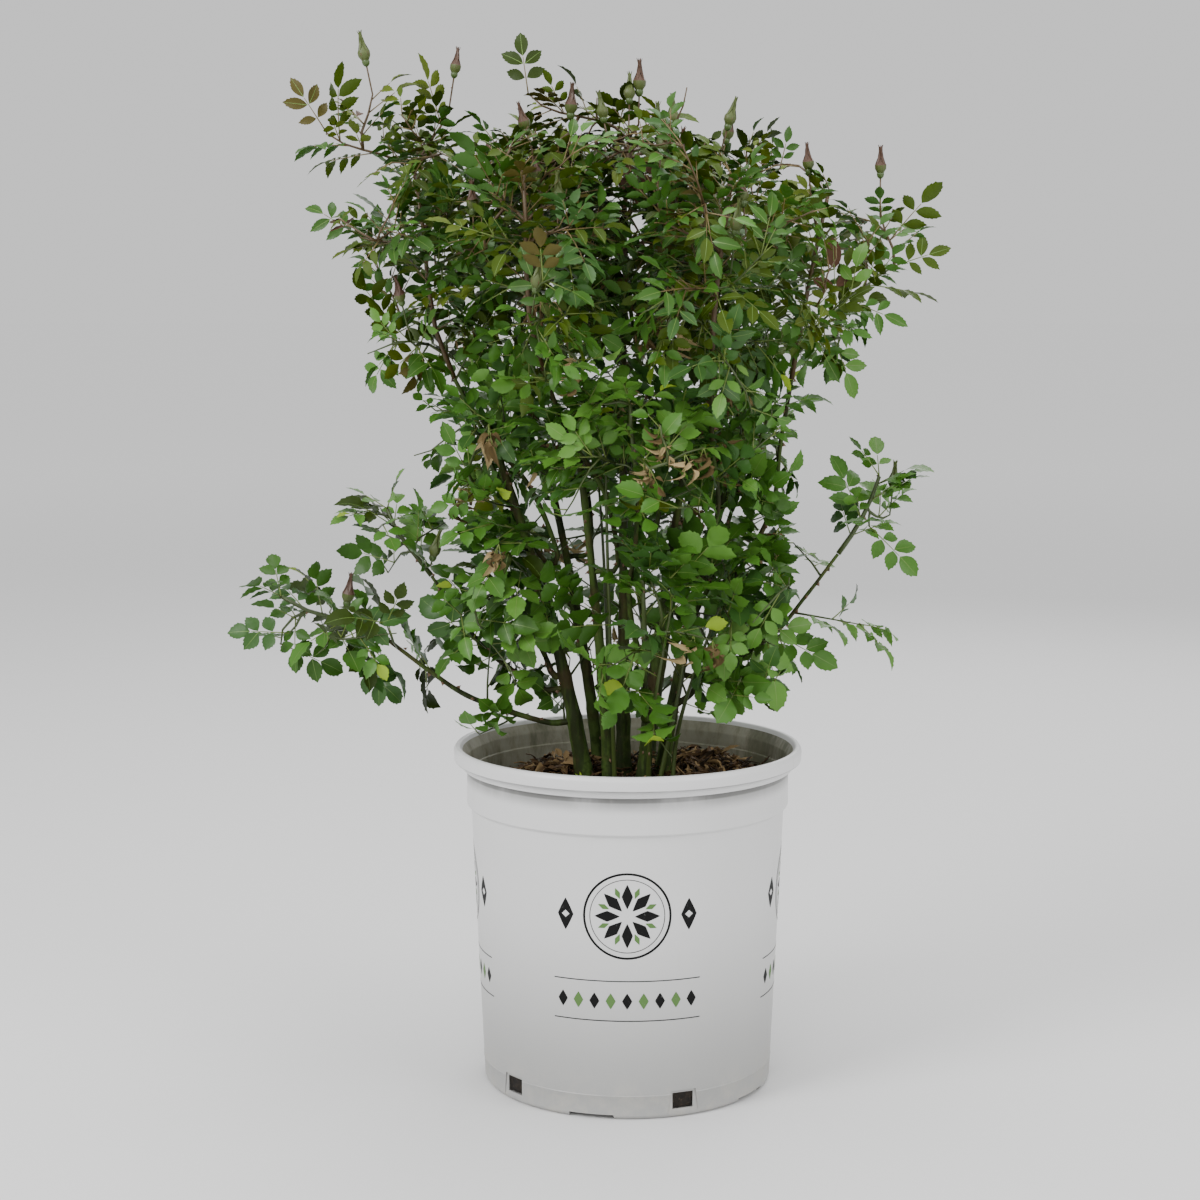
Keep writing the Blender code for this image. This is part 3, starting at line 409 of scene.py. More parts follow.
def makePot():
    thing = addPiece("potWall", turned("potWall", rounded(potCorners()), pot["sides"]), whitePlastic(),
                     "pot_plastic", "pot")
    cutDrains(thing)
    thing.data.materials.append(grimyPlastic().material)
    for face in thing.data.polygons:
        inward = face.normal.x * face.center.x + face.normal.y * face.center.y < pot["inwardBelow"]
        if inward and pot["grimeFoot"] < face.center.z < pot["height"] - pot["grimeTop"]:
            face.material_index = 1
    thing.data.shade_smooth()
    thing.data.set_sharp_from_angle(angle=pot["sharpAngle"])
    print("pot:", len(thing.data.polygons), "faces")


# The print on the pot: rosettes, rules and rows of lozenges, a whole set on each side

trim = {
    "turns": 4, "proud": 0.00016, "sunk": 0.00030, "rosetteAt": 0.1520, "ringRadius": 0.0310,
    "ringWidth": 0.0016,
    "fineRing": 0.0268, "fineWidth": 0.0005, "petals": 8, "petalFrom": 0.0055, "petalTo": 0.0232,
    "petalHalf": 0.0040,
    "seedFrom": 0.0140, "seedTo": 0.0225, "seedHalf": 0.0019, "besideAt": 0.0450,
    "besideSize": (0.0060, 0.0115),
    "ruleHalf": 0.0540, "ruleWidth": 0.0007, "rules": (0.1040, 0.0745), "rowAt": 0.0892, "rowCount": 9,
    "rowStep": 0.0118, "rowSize": (0.0036, 0.0058), "ruleSteps": 12, "pointWidth": 0.02, "bulge": 0.85,
    "ink": (0.004, 0.004, 0.004), "green": (0.085, 0.17, 0.05),
}


def onPot(u, v, proud, turn):
    # a point u to the right and v up on the pot's wall, standing proud of it
    r = bodyRadius(v) + proud
    angle = turn + u / bodyRadius(v)
    return r * math.sin(angle), -r * math.cos(angle), v


def addRibbon(heap, pairs, turn, closed=False):
    # a thin slab between the pairs of (u, v) points along its two edges
    points = []
    for pair in pairs:
        points += [onPot(*end, lift, turn) for lift in (trim["proud"], -trim["sunk"]) for end in pair]
    count = len(pairs)
    faces = []
    for k in range(count if closed else count - 1):
        a, b = 4 * k, 4 * ((k + 1) % count)
        faces += [(a, b, b + 1, a + 1), (a + 2, a + 3, b + 3, b + 2), (a, a + 2, b + 2, b),
                  (a + 1, b + 1, b + 3, a + 3)]
    if not closed:
        last = 4 * (count - 1)
        faces += [(0, 1, 3, 2), (last, last + 2, last + 3, last + 1)]
    heap.add(points, faces)


def addLozenge(heap, start, end, half, turn, steps=8):
    # a lozenge whose long axis runs from start to end
    start, end = Vector(start), Vector(end)
    beside = Vector((-(end - start).y, (end - start).x)).normalized() * half
    pairs = []
    for k in range(steps + 1):
        t = k / steps
        wide = beside * max(trim["pointWidth"], 1 - abs(2 * t - 1)) ** trim["bulge"]
        middle = start.lerp(end, t)
        pairs.append(((middle - wide)[:], (middle + wide)[:]))
    addRibbon(heap, pairs, turn)


def addUpright(heap, at, size, turn):
    wide, tall = size
    addLozenge(heap, at - Vector((0, tall)), at + Vector((0, tall)), wide, turn)


def clockWay(angle):
    # the way that a clock's hand points, from 12 at angle 0
    return Vector((math.sin(angle), math.cos(angle)))


def addRing(heap, centre, radius, width, turn, steps=64):
    pairs = [((centre + way * (radius - width / 2))[:], (centre + way * (radius + width / 2))[:])
             for way in map(clockWay, turns(steps))]
    addRibbon(heap, pairs, turn, closed=True)


def printPaint(name, colour):
    paint = Paint(name, colour, 0.6, Specular_IOR_Level=0.15)
    worn = paint.cloud(380, 4, 0.7).between(0.62, 0.76)
    paint.colour(paint.blend(worn * 0.18, colour, pot["shade"]))
    paint.rough(worn * 0.2 + 0.55)
    return paint


def makePrint():
    t = trim
    ink, green = Heap(), Heap()
    for turn in turns(t["turns"]):
        centre = Vector((0, t["rosetteAt"]))
        addRing(ink, centre, t["ringRadius"], t["ringWidth"], turn)
        addRing(ink, centre, t["fineRing"], t["fineWidth"], turn)
        for n in range(t["petals"]):
            petal = clockWay(math.tau * n / t["petals"])
            seed = clockWay(math.tau * (n + 0.5) / t["petals"])
            addLozenge(ink, centre + petal * t["petalFrom"], centre + petal * t["petalTo"],
                       t["petalHalf"], turn)
            addLozenge(green, centre + seed * t["seedFrom"], centre + seed * t["seedTo"], t["seedHalf"], turn)
        for hand in (-1, 1):
            addUpright(ink, centre + Vector((hand * t["besideAt"], 0)), t["besideSize"], turn)
        along = [t["ruleHalf"] * (n / t["ruleSteps"] - 1) for n in range(2 * t["ruleSteps"] + 1)]
        for v in t["rules"]:
            addRibbon(ink, [((u, v - t["ruleWidth"] / 2), (u, v + t["ruleWidth"] / 2)) for u in along], turn)
        for n in range(t["rowCount"]):
            at = Vector(((n - (t["rowCount"] - 1) / 2) * t["rowStep"], t["rowAt"]))
            addUpright(green if n % 2 else ink, at, t["rowSize"], turn)
    for name, heap, colour in (("printInk", ink, t["ink"]), ("printGreen", green, t["green"])):
        heap.piece(name, printPaint(name, colour), "pot_plastic", smooth=False)
    print("print:", t["turns"], "sets of motifs")


# Soil and litter

soil = {
    "top": 0.2220, "gap": 0.0003, "rings": 70, "spokes": 150,
    "heaps": ((0.052, 0.022, 0.046, 0.015), (-0.036, 0.018, 0.040, 0.011)), "heapSpread": 0.62,
    "crumb": 0.0042, "crumbs": ((45, 0.5), (130, 0.35), (340, 0.30)), "edgeDip": 0.003, "dipPower": 8,
    "shoulderOver": 0.0015, "under": ((0.200, 0.200), (0.010, 0.0075)), "foot": 0.0075, "footRadius": 0.060,
    "dark": (0.008, 0.006, 0.004), "brown": (0.030, 0.020, 0.011), "fleck": (0.09, 0.062, 0.036),
}


def soilHeight(x, y):
    heap = sum(tall * math.exp(-((x - a) ** 2 + (y - b) ** 2) / wide ** 2)
               for a, b, wide, tall in soil["heaps"])
    crumbs = sum(noise.noise(Vector((x, y, k)) * scale) * share
                 for k, (scale, share) in enumerate(soil["crumbs"]))
    return soil["top"] + heap + crumbs * soil["crumb"]


def soilRadius(z):
    inner = pot["collarRadius"] - pot["wall"] if z > pot["collarFoot"] else bodyRadius(z) - pot["wall"]
    return inner - 2 * soil["gap"]


def darkSoil():
    paint = Paint("darkSoil", soil["dark"], 0.95)
    lumps = paint.cloud(220, 8, 0.7)
    flecks = paint.cloud(520, 3, 0.6).between(0.60, 0.68)
    tone = paint.ramp(lumps, [(0.38, soil["dark"]), (0.70, soil["brown"])])
    paint.colour(paint.blend(flecks * 0.55, tone, soil["fleck"]))
    paint.relief(lumps, 0.0015)
    return paint


def makeSoil():
    points = []
    rings, spokes = soil["rings"], soil["spokes"]
    edge = soilRadius(soil["top"])
    for k in range(rings + 1):
        r = edge * k / rings
        for angle in turns(spokes):
            x, y = r * math.cos(angle), r * math.sin(angle)
            points.append((x, y, soilHeight(x, y) - soil["edgeDip"] * (k / rings) ** soil["dipPower"]))
    shoulder = pot["collarFoot"] + soil["shoulderOver"]
    below = [(soilRadius(at), z) for at, z in ((shoulder, shoulder), *soil["under"])]
    below.append((soil["footRadius"], soil["foot"]))
    for r, z in below:
        points += [(r * math.cos(angle), r * math.sin(angle), z) for angle in turns(spokes)]
    rings += len(below)
    faces = [(a, d, c, b) for a, b, c, d in sleeve(rings + 1, spokes)]
    faces.append(tuple(rings * spokes + n for n in reversed(range(spokes))))
    mesh = faceOut(meshFrom("pottingSoil", points, faces), weld)
    addPiece("pottingSoil", mesh, darkSoil(), "potting_mix", "soil")
    print("soil:", len(mesh.polygons), "faces")


# Limbs: the canes and boughs of the frame, drawn again by its rule

limb = {
    "canes": {
        "left": ((-0.030, -0.008), (-0.104, -0.030, 0.500), 0.0066, 0.0038),
        "left_back": ((-0.020, 0.020), (-0.072, 0.078, 0.500), 0.0052, 0.0036),
        "middle_left": ((-0.013, -0.012), (-0.038, -0.066, 0.500), 0.0052, 0.0036),
        "middle": ((-0.003, 0.006), (-0.004, 0.014, 0.590), 0.0058, 0.0036),
        "middle_right": ((0.011, -0.014), (0.044, -0.072, 0.490), 0.0054, 0.0036),
        "right": ((0.024, -0.002), (0.088, -0.016, 0.500), 0.0056, 0.0036),
        "right_back": ((0.014, 0.022), (0.064, 0.080, 0.500), 0.0050, 0.0036),
    },
    "caneRings": 5, "caneFlare": 1.30, "caneFlareOn": 1.06, "flareShare": 0.3, "lean": 0.6,
    "boughRings": 4, "boughFoot": 0.0032, "boughTip": 0.0022, "forkShare": 0.42, "footShare": 0.62,
    "stations": 6, "forkPull": 0.8, "rise": 0.35, "pull": 0.36, "clear": 0.0010, "forkFree": 0.012,
    "elbow": 0.004, "elbowShare": 0.5, "collar": 0.0015, "leaveAlong": 0.15,
}


def curve(start, leaving, end, arriving, steps):
    span = (end - start).length
    a, b = start + leaving * span * limb["pull"], end - arriving * span * limb["pull"]
    return [start * (1 - t) ** 3 + a * 3 * (1 - t) * (1 - t) * t + b * 3 * (1 - t) * t * t + end * t ** 3
            for t in (k / steps for k in range(steps + 1))]


def headings(path):
    steps = [(b - a).normalized() for a, b in zip(path, path[1:])]
    return [steps[0], *[(a + b).normalized() for a, b in zip(steps, steps[1:])], steps[-1]]


def across(direction, toward=hint):
    # square to a direction, as near to another one as it can be
    side = toward - direction * toward.dot(direction)
    if side.length < 0.2:
        side = Vector((1, 0, 0)) - direction * direction.x
    return side.normalized()


def spaced(path, radii, gap=0.003):
    # rows of (x, y, z, radius) along a path
    rows = []
    for a, b, ra, rb in zip(path, path[1:], radii, radii[1:]):
        count = max(1, int((b - a).length / gap))
        rows += [(*a.lerp(b, k / count), ra + (rb - ra) * k / count) for k in range(count)]
    rows.append((*path[-1], radii[-1]))
    return np.array(rows)


def isClear(points, things, gap):
    if len(things) == 0 or len(points) == 0:
        return True
    apart = np.linalg.norm(points[:, None, :3] - things[None, :, :3], axis=2)
    return float((apart - points[:, None, 3] - things[None, :, 3]).min()) > gap


def beyond(samples, place, distance):
    return samples[np.linalg.norm(samples[:, :3] - np.array(place), axis=1) > distance]


def shrink(first, last, count):
    return [first + (last - first) * k / (count - 1) for k in range(count)]


def growCanes():
    canes = {}
    for name, (foot, top, footRadius, topRadius) in limb["canes"].items():
        start, end = Vector((*foot, soil["top"] + soil["gap"])), Vector(top)
        lean = Vector((end.x - start.x, end.y - start.y, 0)) * limb["lean"]
        leaving = (Vector((0, 0, end.z - start.z)) + lean).normalized()
        path = curve(start, leaving, end, (end - start + lean / 2).normalized(), limb["caneRings"])
        path.insert(1, path[0].lerp(path[1], limb["flareShare"]))
        radii = shrink(footRadius, topRadius, len(path))
        radii[0] *= limb["caneFlare"]
        radii[1] *= limb["caneFlareOn"]
        canes[name] = {"path": path, "radii": radii, "samples": spaced(path, radii)}
    return canes


def stationsOn(cane):
    found = []
    count = limb["stations"]
    for a, b, ra, rb in zip(cane["path"][1:], cane["path"][2:], cane["radii"][1:], cane["radii"][2:]):
        found += [(a.lerp(b, k / count), (b - a).normalized(), ra + (rb - ra) * k / count)
                  for k in range(count)]
    return found


def routeTo(mass, station, cane, limbs):
    place, heading, radius = station
    toward = (mass["heart"] - place).normalized()
    outward = across(heading, toward)
    start = place + outward * (radius + soil["gap"])
    foot = mass["heart"] - Vector(t * r for t, r in zip(toward, mass["reach"])) * limb["footShare"]
    arriving = (toward + up * limb["rise"]).normalized()
    leaving = (outward + heading * limb["leaveAlong"]).normalized()
    path = curve(start, leaving, foot, arriving, limb["boughRings"])
    path[1] = path[0] + outward * max(limb["elbow"], (path[1] - path[0]).length * limb["elbowShare"]) \
        + heading * limb["elbow"]
    path.insert(1, path[0] + outward * limb["collar"])
    radii = shrink(limb["boughFoot"], limb["boughTip"], len(path))
    samples = spaced(path, radii)
    others = np.vstack([other["samples"] for other in limbs if other is not cane])
    free = beyond(samples, place, radius + limb["forkFree"])
    if isClear(samples, others, limb["clear"]) and isClear(free, cane["samples"], limb["clear"]):
        return {"path": path, "radii": radii, "samples": samples, "root": place}
    return None


def growBoughs(canes, masses):
    limbs = list(canes.values())
    for name, mass in sorted(masses.items(), key=lambda item: -item[1]["heart"].z):
        heart = mass["heart"]
        fork = soil["top"] + limb["forkShare"] * (heart.z - soil["top"])
        choices = []
        for cane in canes.values():
            for station in stationsOn(cane):
                flat = Vector((heart.x - station[0].x, heart.y - station[0].y)).length
                cost = flat + limb["forkPull"] * abs(station[0].z - fork)
                choices.append((cost, len(choices), station, cane))
        for _, _, station, cane in sorted(choices, key=lambda row: row[:2]):
            mass["bough"] = routeTo(mass, station, cane, limbs)
            if mass["bough"]:
                break
        limbs.append(mass["bough"])
    return limbs


# Masses: what space each has, and the wood inside it

crown = {
    "masses": {
        "upper_left": ((-0.146, -0.005, 0.612), (0.092, 0.088, 0.145)),
        "upper_front_left": ((-0.068, -0.108, 0.615), (0.082, 0.080, 0.135)),
        "upper_front_right": ((0.066, -0.108, 0.610), (0.082, 0.080, 0.135)),
        "upper_right": ((0.138, 0.000, 0.605), (0.084, 0.088, 0.135)),
        "upper_back_right": ((0.068, 0.110, 0.610), (0.084, 0.080, 0.135)),
        "upper_back_left": ((-0.072, 0.110, 0.615), (0.084, 0.080, 0.135)),
        "upper_middle": ((0.000, 0.000, 0.655), (0.082, 0.082, 0.100)),
        "waist_left": ((-0.105, -0.010, 0.482), (0.070, 0.075, 0.065)),
        "waist_front": ((0.000, -0.100, 0.485), (0.085, 0.060, 0.065)),
        "waist_right": ((0.098, -0.005, 0.480), (0.066, 0.080, 0.065)),
        "waist_back": ((0.000, 0.105, 0.485), (0.088, 0.060, 0.065)),
        "lower_left": ((-0.092, -0.005, 0.362), (0.078, 0.080, 0.085)),
        "lower_front": ((0.010, -0.082, 0.365), (0.075, 0.065, 0.080)),
        "lower_right": ((0.094, -0.005, 0.358), (0.070, 0.080, 0.090)),
        "lower_back": ((0.004, 0.086, 0.362), (0.084, 0.070, 0.085)),
        "low_bough_end": ((-0.225, -0.020, 0.350), (0.085, 0.070, 0.065)),
        "low_bough_shoots": ((-0.172, 0.000, 0.405), (0.055, 0.060, 0.060)),
        "right_sprig": ((0.180, 0.005, 0.425), (0.050, 0.055, 0.070)),
    },
    "budShoots": [
        (-0.193, -0.020, 0.778), (-0.123, 0.010, 0.772), (0.008, -0.020, 0.757), (0.128, -0.010, 0.702),
        (0.183, 0.000, 0.700), (0.199, 0.010, 0.470), (-0.202, -0.030, 0.388), (-0.137, -0.020, 0.420),
    ],
    "leafShoots": [
        (-0.241, -0.030, 0.744), (-0.079, -0.010, 0.780), (-0.236, 0.000, 0.657), (0.240, 0.010, 0.625),
        (0.205, -0.020, 0.567), (-0.198, 0.010, 0.512), (0.168, 0.000, 0.512), (0.213, -0.010, 0.387),
        (0.152, -0.030, 0.319), (-0.297, -0.030, 0.345), (-0.212, -0.020, 0.314), (-0.163, -0.020, 0.288),
        (0.010, -0.190, 0.590), (0.000, 0.195, 0.600),
    ],
    "highBuds": [
        (-0.040, -0.030, 0.740), (-0.022, -0.060, 0.735), (0.001, -0.020, 0.751), (0.031, -0.040, 0.732),
        (0.078, -0.020, 0.732), (-0.079, -0.050, 0.727), (-0.066, -0.100, 0.690), (0.025, -0.090, 0.710),
        (0.039, -0.070, 0.708), (0.076, -0.100, 0.675), (0.075, -0.130, 0.654), (-0.058, -0.150, 0.615),
        (-0.048, -0.120, 0.675), (-0.109, -0.080, 0.671), (-0.061, -0.150, 0.519), (-0.166, -0.060, 0.606),
    ],
    "dryTufts": [
        (-0.092, -0.070, 0.412), (0.060, -0.085, 0.345), (-0.122, -0.030, 0.448), (0.015, -0.125, 0.470),
        (0.055, 0.095, 0.430), (-0.060, 0.090, 0.400), (0.110, -0.030, 0.420), (-0.030, -0.120, 0.540),
        (0.022, -0.128, 0.500), (0.052, -0.116, 0.484), (-0.098, -0.080, 0.498),
    ],
    "backBudsFrom": 0.045,
    "power": 2.8, "twigShare": 66, "fineShare": 740, "fineShells": (0.40, 0.62, 0.80, 0.93), "spill": 0.010,
    "outline": ((0.24, 0.090), (0.30, 0.104), (0.36, 0.112), (0.41, 0.108), (0.46, 0.106), (0.50, 0.114),
                (0.55, 0.142), (0.62, 0.160), (0.66, 0.148), (0.685, 0.122), (0.704, 0.082), (0.720, 0.001)),
    "hollow": ((0.25, 0.050), (0.42, 0.058), (0.47, 0.030), (0.52, 0.0)),
    "tilt": 0.07, "bumps": (0.014, 0.007), "bumpWaves": ((75, 0.7, 68, 1.9), (163, 2.1, 149)),
    "tufts": ((-0.146, -0.020, 0.704, 0.030), (0.100, 0.080, 0.688, 0.030),
              (-0.080, 0.110, 0.695, 0.032), (0.020, -0.110, 0.700, 0.026)),
    "outlineX": -0.010, "outer": 1.36, "sprigShare": 0.22, "depthShare": 0.95,
    "loose": ("low_bough_end", "low_bough_shoots", "right_sprig"),
    "fullness": {"upper_left": 0.90, "upper_front_left": 1.1, "upper_front_right": 1.1, "upper_right": 0.50,
                 "upper_back_right": 1.15, "upper_back_left": 1.15, "upper_middle": 1.3,
                 "waist_left": 0.85, "waist_front": 0.70, "waist_right": 1.0, "waist_back": 0.70,
                 "lower_left": 0.30, "lower_front": 0.10, "lower_right": 1.0, "lower_back": 0.06,
                 "low_bough_end": 0.09, "low_bough_shoots": 0.18, "right_sprig": 0.08},
    "sideGap": (0.018, 0.030), "looseGap": 1.35, "sideFrom": 0.44, "lowSideFrom": 0.27,
    "lowSideShare": 0.14,
    "shoots": 6, "shootFoot": (0.012, 0.050), "shootTop": (0.40, 0.52), "shootSpread": (1.5, 2.3),
    "shootRadius": (0.0019, 0.0009), "shootTries": 400, "shootSunk": 0.004, "shootStray": 0.02,
    "shootSway": (0.2, 0.3), "shootSteps": 14, "shootGap": 0.0015,
    "sideReach": (0.026, 0.062), "sideLift": 0.55, "sideStray": 0.25, "sideSunk": 0.6, "sideAlong": 0.5,
    "strayReach": 1.12, "dryBelow": 0.60, "dryShare": 0.28, "shellPoints": 140, "endSize": 0.003,
    "endRoom": 0.002,
    "stemSteps": 4, "stemSpread": 1.6, "stemFoot": 0.95, "stemTries": 40, "stemStray": 0.04,
    "stemShare": 0.45, "stemTip": 0.0015, "stemFree": 4, "stemGap": 0.0015, "stemRoom": 0.0008,
    "twigFoot": 0.00135, "twigTip": 0.00065, "fineFoot": 0.00095, "fineTip": 0.00045,
    "twigGap": 0.0020, "fineGap": 0.0008, "stalkGap": 0.0015, "limbGap": 0.0010, "rootFree": 0.009,
    "twigStarts": 14, "twigStep": 0.012, "shortest": 0.014, "backCost": 0.02, "leaveAlong": 0.8,
    "leaveUp": 0.1, "twigReach": 0.55, "shootBack": 0.048, "fineAt": 0.45, "fineUp": 0.45, "fineStray": 0.4,
    "highLeaf": 0.76, "highLifts": (3.0, 1.2),
    "lifts": {"plain": (0.3,), "leaf": (0.15, 0.8, -0.5), "dry": (-0.2, 0.3, 1.0)},
    "seed": 7,
}
budKinds = ("bud", "highBud")


def setOutMasses():
    names = list(crown["masses"])
    hearts = np.array([heart for heart, _ in crown["masses"].values()])
    reaches = np.array([reach for _, reach in crown["masses"].values()])
    weights = reaches.mean(axis=1) ** 2
    masses = {}
    for index, (name, (heart, reach)) in enumerate(crown["masses"].items()):
        masses[name] = {"name": name, "index": index, "heart": Vector(heart), "reach": Vector(reach),
                        "shoots": [], "field": (hearts, reaches, weights),
                        "rule": random.Random(f"{crown['seed']} {name}")}
    behind = [(-x, -y, z) for x, y, z in crown["highBuds"] if -y > crown["backBudsFrom"]]
    for kind, tips in (("bud", crown["budShoots"]), ("leaf", crown["leafShoots"]),
                       ("highBud", crown["highBuds"] + behind), ("dry", crown["dryTufts"])):
        for tip in tips:
            power = ((hearts - np.array(tip)) ** 2).sum(axis=1) - weights
            masses[names[int(power.argmin())]]["shoots"].append((Vector(tip), kind))
    return masses


def roomFor(samples, mass, hold="reach"):
    # how far each sample (x, y, z, radius) lies inside the mass's space; below 0 it is outside.
    # hold is "reach" or "near" its own reach, "cell" for its share of the crown, "strays" for any way out
    hearts, reaches, weights = mass["field"]
    index = mass["index"]
    offset = samples[:, None, :3] - hearts[None]
    power = (offset ** 2).sum(axis=2) - weights
    apart = np.linalg.norm(hearts - hearts[index], axis=1)
    apart[index] = 1.0
    room = (power - power[:, [index]]) / (2 * apart)
    room[:, index] = 1.0
    room = room.min(axis=1) - samples[:, 3]
    if hold in ("reach", "near"):
        most = crown["strayReach"] if hold == "near" else 1.0
        away = (np.abs(offset[:, index] / (reaches[index] * most)) ** crown["power"]).sum(axis=1)
        room[away > 1] = -1.0
    if hold in ("reach", "cell") and mass["name"] not in crown["loose"]:
        room[pastOutline(samples) > crown["outer"]] = -1.0
    return room


def pastOutline(samples):
    # distance from the axis as a share of the crown's dense width at that height
    x, y, z = samples[:, 0], samples[:, 1], samples[:, 2]
    broad, fine = crown["bumps"]
    (a, aFrom, b, bFrom), (c, cFrom, d) = crown["bumpWaves"]
    level = z + crown["tilt"] * x + broad * np.sin(x * a + aFrom) * np.sin(y * b + bFrom)
    level = level + fine * np.sin(x * c + cFrom) * np.cos(y * d)
    away = np.hypot(x - crown["outlineX"], y / crown["depthShare"])
    share = away / np.interp(level, *zip(*crown["outline"]))
    for *middle, reach in crown["tufts"]:
        share = np.minimum(share, np.linalg.norm(samples[:, :3] - np.array(middle), axis=1) / reach)
    return share


def outlineAt(place):
    return float(pastOutline(np.array([tuple(place)]))[0])


def isSprig(mass, place):
    return mass["name"] not in crown["loose"] and outlineAt(place) > 1


def inBox(samples, edge=0.001):
    return bool((samples[:, :3].min(axis=0) > np.array(cadLow) + edge).all()
                and (samples[:, :3].max(axis=0) < np.array(cadHigh) - edge).all())


def shellEnds(mass, count, share, taken):
    # evenly spread twig ends on a shell inside the mass's space, far from those already taken
    total = crown["shellPoints"]
    z = 1 - 2 * (np.arange(total) + 0.5) / total
    turn, ring = golden * np.arange(total), np.sqrt(1 - z * z)
    shell = np.stack([ring * np.cos(turn), ring * np.sin(turn), z], axis=1)
    shell = np.array(mass["heart"]) + shell * np.array(mass["reach"]) * share
    shell = shell[roomFor(np.hstack([shell, np.full((total, 1), crown["endSize"])]), mass) > crown["endRoom"]]
    chosen = []
    while len(shell) and len(chosen) < count:
        others = np.array([tuple(p) for p in taken + chosen])
        near = np.linalg.norm(shell[:, None] - others[None], axis=2).min(axis=1)
        best = int(near.argmax())
        chosen.append(Vector(shell[best]))
        shell = np.delete(shell, best, axis=0)
    return chosen


def anyWay(rule):
    z, angle = rule.uniform(-1, 1), rule.uniform(0, math.tau)
    ring = math.sqrt(1 - z * z)
    return Vector((ring * math.cos(angle), ring * math.sin(angle), z))


def growStem(mass):
    c, rule, bough = crown, mass["rule"], mass["bough"]
    heading = headings(bough["path"])[-1]
    start = bough["path"][-1] + heading * soil["gap"]
    radii = shrink(bough["radii"][-1] * c["stemFoot"], c["stemTip"], c["stemSteps"] + 1)
    rising = heading
    if mass["reach"].z > mass["reach"].x:
        spread = c["stemSpread"]
        rising = Vector((mass["heart"].x * spread, mass["heart"].y * spread, 1)).normalized()
    for trial in range(c["stemTries"]):
        way = (rising + anyWay(rule) * (c["stemStray"] * trial)).normalized()
        end = mass["heart"] + Vector(t * r for t, r in zip(way, mass["reach"])) * c["stemShare"]
        path = curve(start, heading, end, way, c["stemSteps"])
        samples = spaced(path, radii)
        if isClear(samples, mass["limbs"], c["stemGap"]) \
                and float(roomFor(samples[c["stemFree"]:], mass, "strays").min()) > c["stemRoom"]:
            break
    return path, radii, samples


def growTwig(mass, end, arriving, foot, tip, hold, gap=crown["twigGap"], starts=None):
    # the shortest clear twig to a point from the mass's own wood, or from given starts
    c = crown
    ordered = sorted(starts or mass["skeleton"],
                     key=lambda row: (end - row[0]).length + c["backCost"] * (row[1].dot(end - row[0]) < 0))
    for place, heading in ordered[:c["twigStarts"]]:
        away = end - place
        if away.length < c["shortest"]:
            continue
        leaving = (heading * c["leaveAlong"] + away.normalized() + up * c["leaveUp"]).normalized()
        steps = max(3, int(away.length / c["twigStep"]))
        path = curve(place, leaving, end, (arriving + away.normalized()).normalized(), steps)
        radii = shrink(foot, tip, steps + 1)
        samples = spaced(path, radii)
        outer = beyond(samples, place, c["rootFree"])
        if len(outer) and float(roomFor(samples, mass, hold).min()) > -c["spill"] and inBox(samples) \
                and isClear(outer, mass["limbs"], c["limbGap"]) and isClear(outer, mass["wood"], gap):
            return path, radii, samples
    return None


def withStalk(mass, grown, way, length):
    # the twig with a bare stalk on its end, or nothing where the stalk has no room
    path, radii, samples = grown
    more = [path[-1] + way * length * k / 3 for k in (1, 2, 3)]
    added = spaced(more, [radii[-1]] * 3)
    if not (inBox(added) and isClear(added, mass["limbs"], crown["limbGap"])
            and isClear(added, mass["wood"], crown["stalkGap"])):
        return None
    return path + more, radii + [radii[-1]] * 3, np.vstack([samples, added])


def keepTwig(mass, path, radii, samples, kind):
    mass["wood"] = np.vstack([mass["wood"], samples])
    mass["skeleton"] += [(p, h) for p, h in zip(path[1:], headings(path)[1:])]
    mass["twigs"].append({"path": path, "radii": radii, "kind": kind})


def waysOut(kind, out, tip, rule):
    # the ways that a twig's end may point, each with the share of its stalk that stays bare
    if kind in budKinds:
        return [(out * 0.2 + up + anyWay(rule) * 0.2, 1.0), (up, 0.8), (up, 0.5), (out * 0.4 + up, 0.2)]
    lifts = crown["lifts"][kind]
    if kind == "leaf" and tip.z > crown["highLeaf"]:
        lifts = crown["highLifts"] + lifts
    return [(out + up * lift, 0) for lift in lifts]


def growTo(mass, tip, kind):
    # a twig whose bud, leaf or withered tuft ends at a place
    c, rule = crown, mass["rule"]
    ways = waysOut(kind, (tip - mass["heart"]).normalized(), tip, rule)
    bare = rule.uniform(*bud["stalk"])
    for way, share in ways:
        arriving, stalk = way.normalized(), bare * share
        back = bud["length"] + stalk if kind in budKinds else c["shootBack"] if kind == "leaf" else 0
        grown = growTwig(mass, tip - arriving * back, arriving, c["twigFoot"], c["twigTip"],
                         "reach" if kind == "plain" else "strays")
        if grown and kind in budKinds:
            grown = withStalk(mass, grown, arriving, stalk)
        if grown:
            keepTwig(mass, *grown, kind)
            mass["twigs"][-1].update(tip=tip, bare=stalk)
            return


def growFine(mass, full):
    # fine twigs that end on shells inside the mass
    c, rule = crown, mass["rule"]
    ends = [twig["path"][-1] for twig in mass["twigs"]]
    area = mass["reach"].x * mass["reach"].z
    for share in c["fineShells"]:
        count = round(area * c["fineShare"] * share / c["fineAt"] * full)
        for place in shellEnds(mass, count, share, ends):
            if isSprig(mass, place) and rule.random() > c["sprigShare"]:
                continue
            out = (place - mass["heart"]).normalized()
            arriving = (out + up * c["fineUp"] + anyWay(rule) * c["fineStray"]).normalized()
            grown = growTwig(mass, place, arriving, c["fineFoot"], c["fineTip"], "reach", c["fineGap"])
            if grown:
                keepTwig(mass, *grown, "fine")
                ends.append(place)


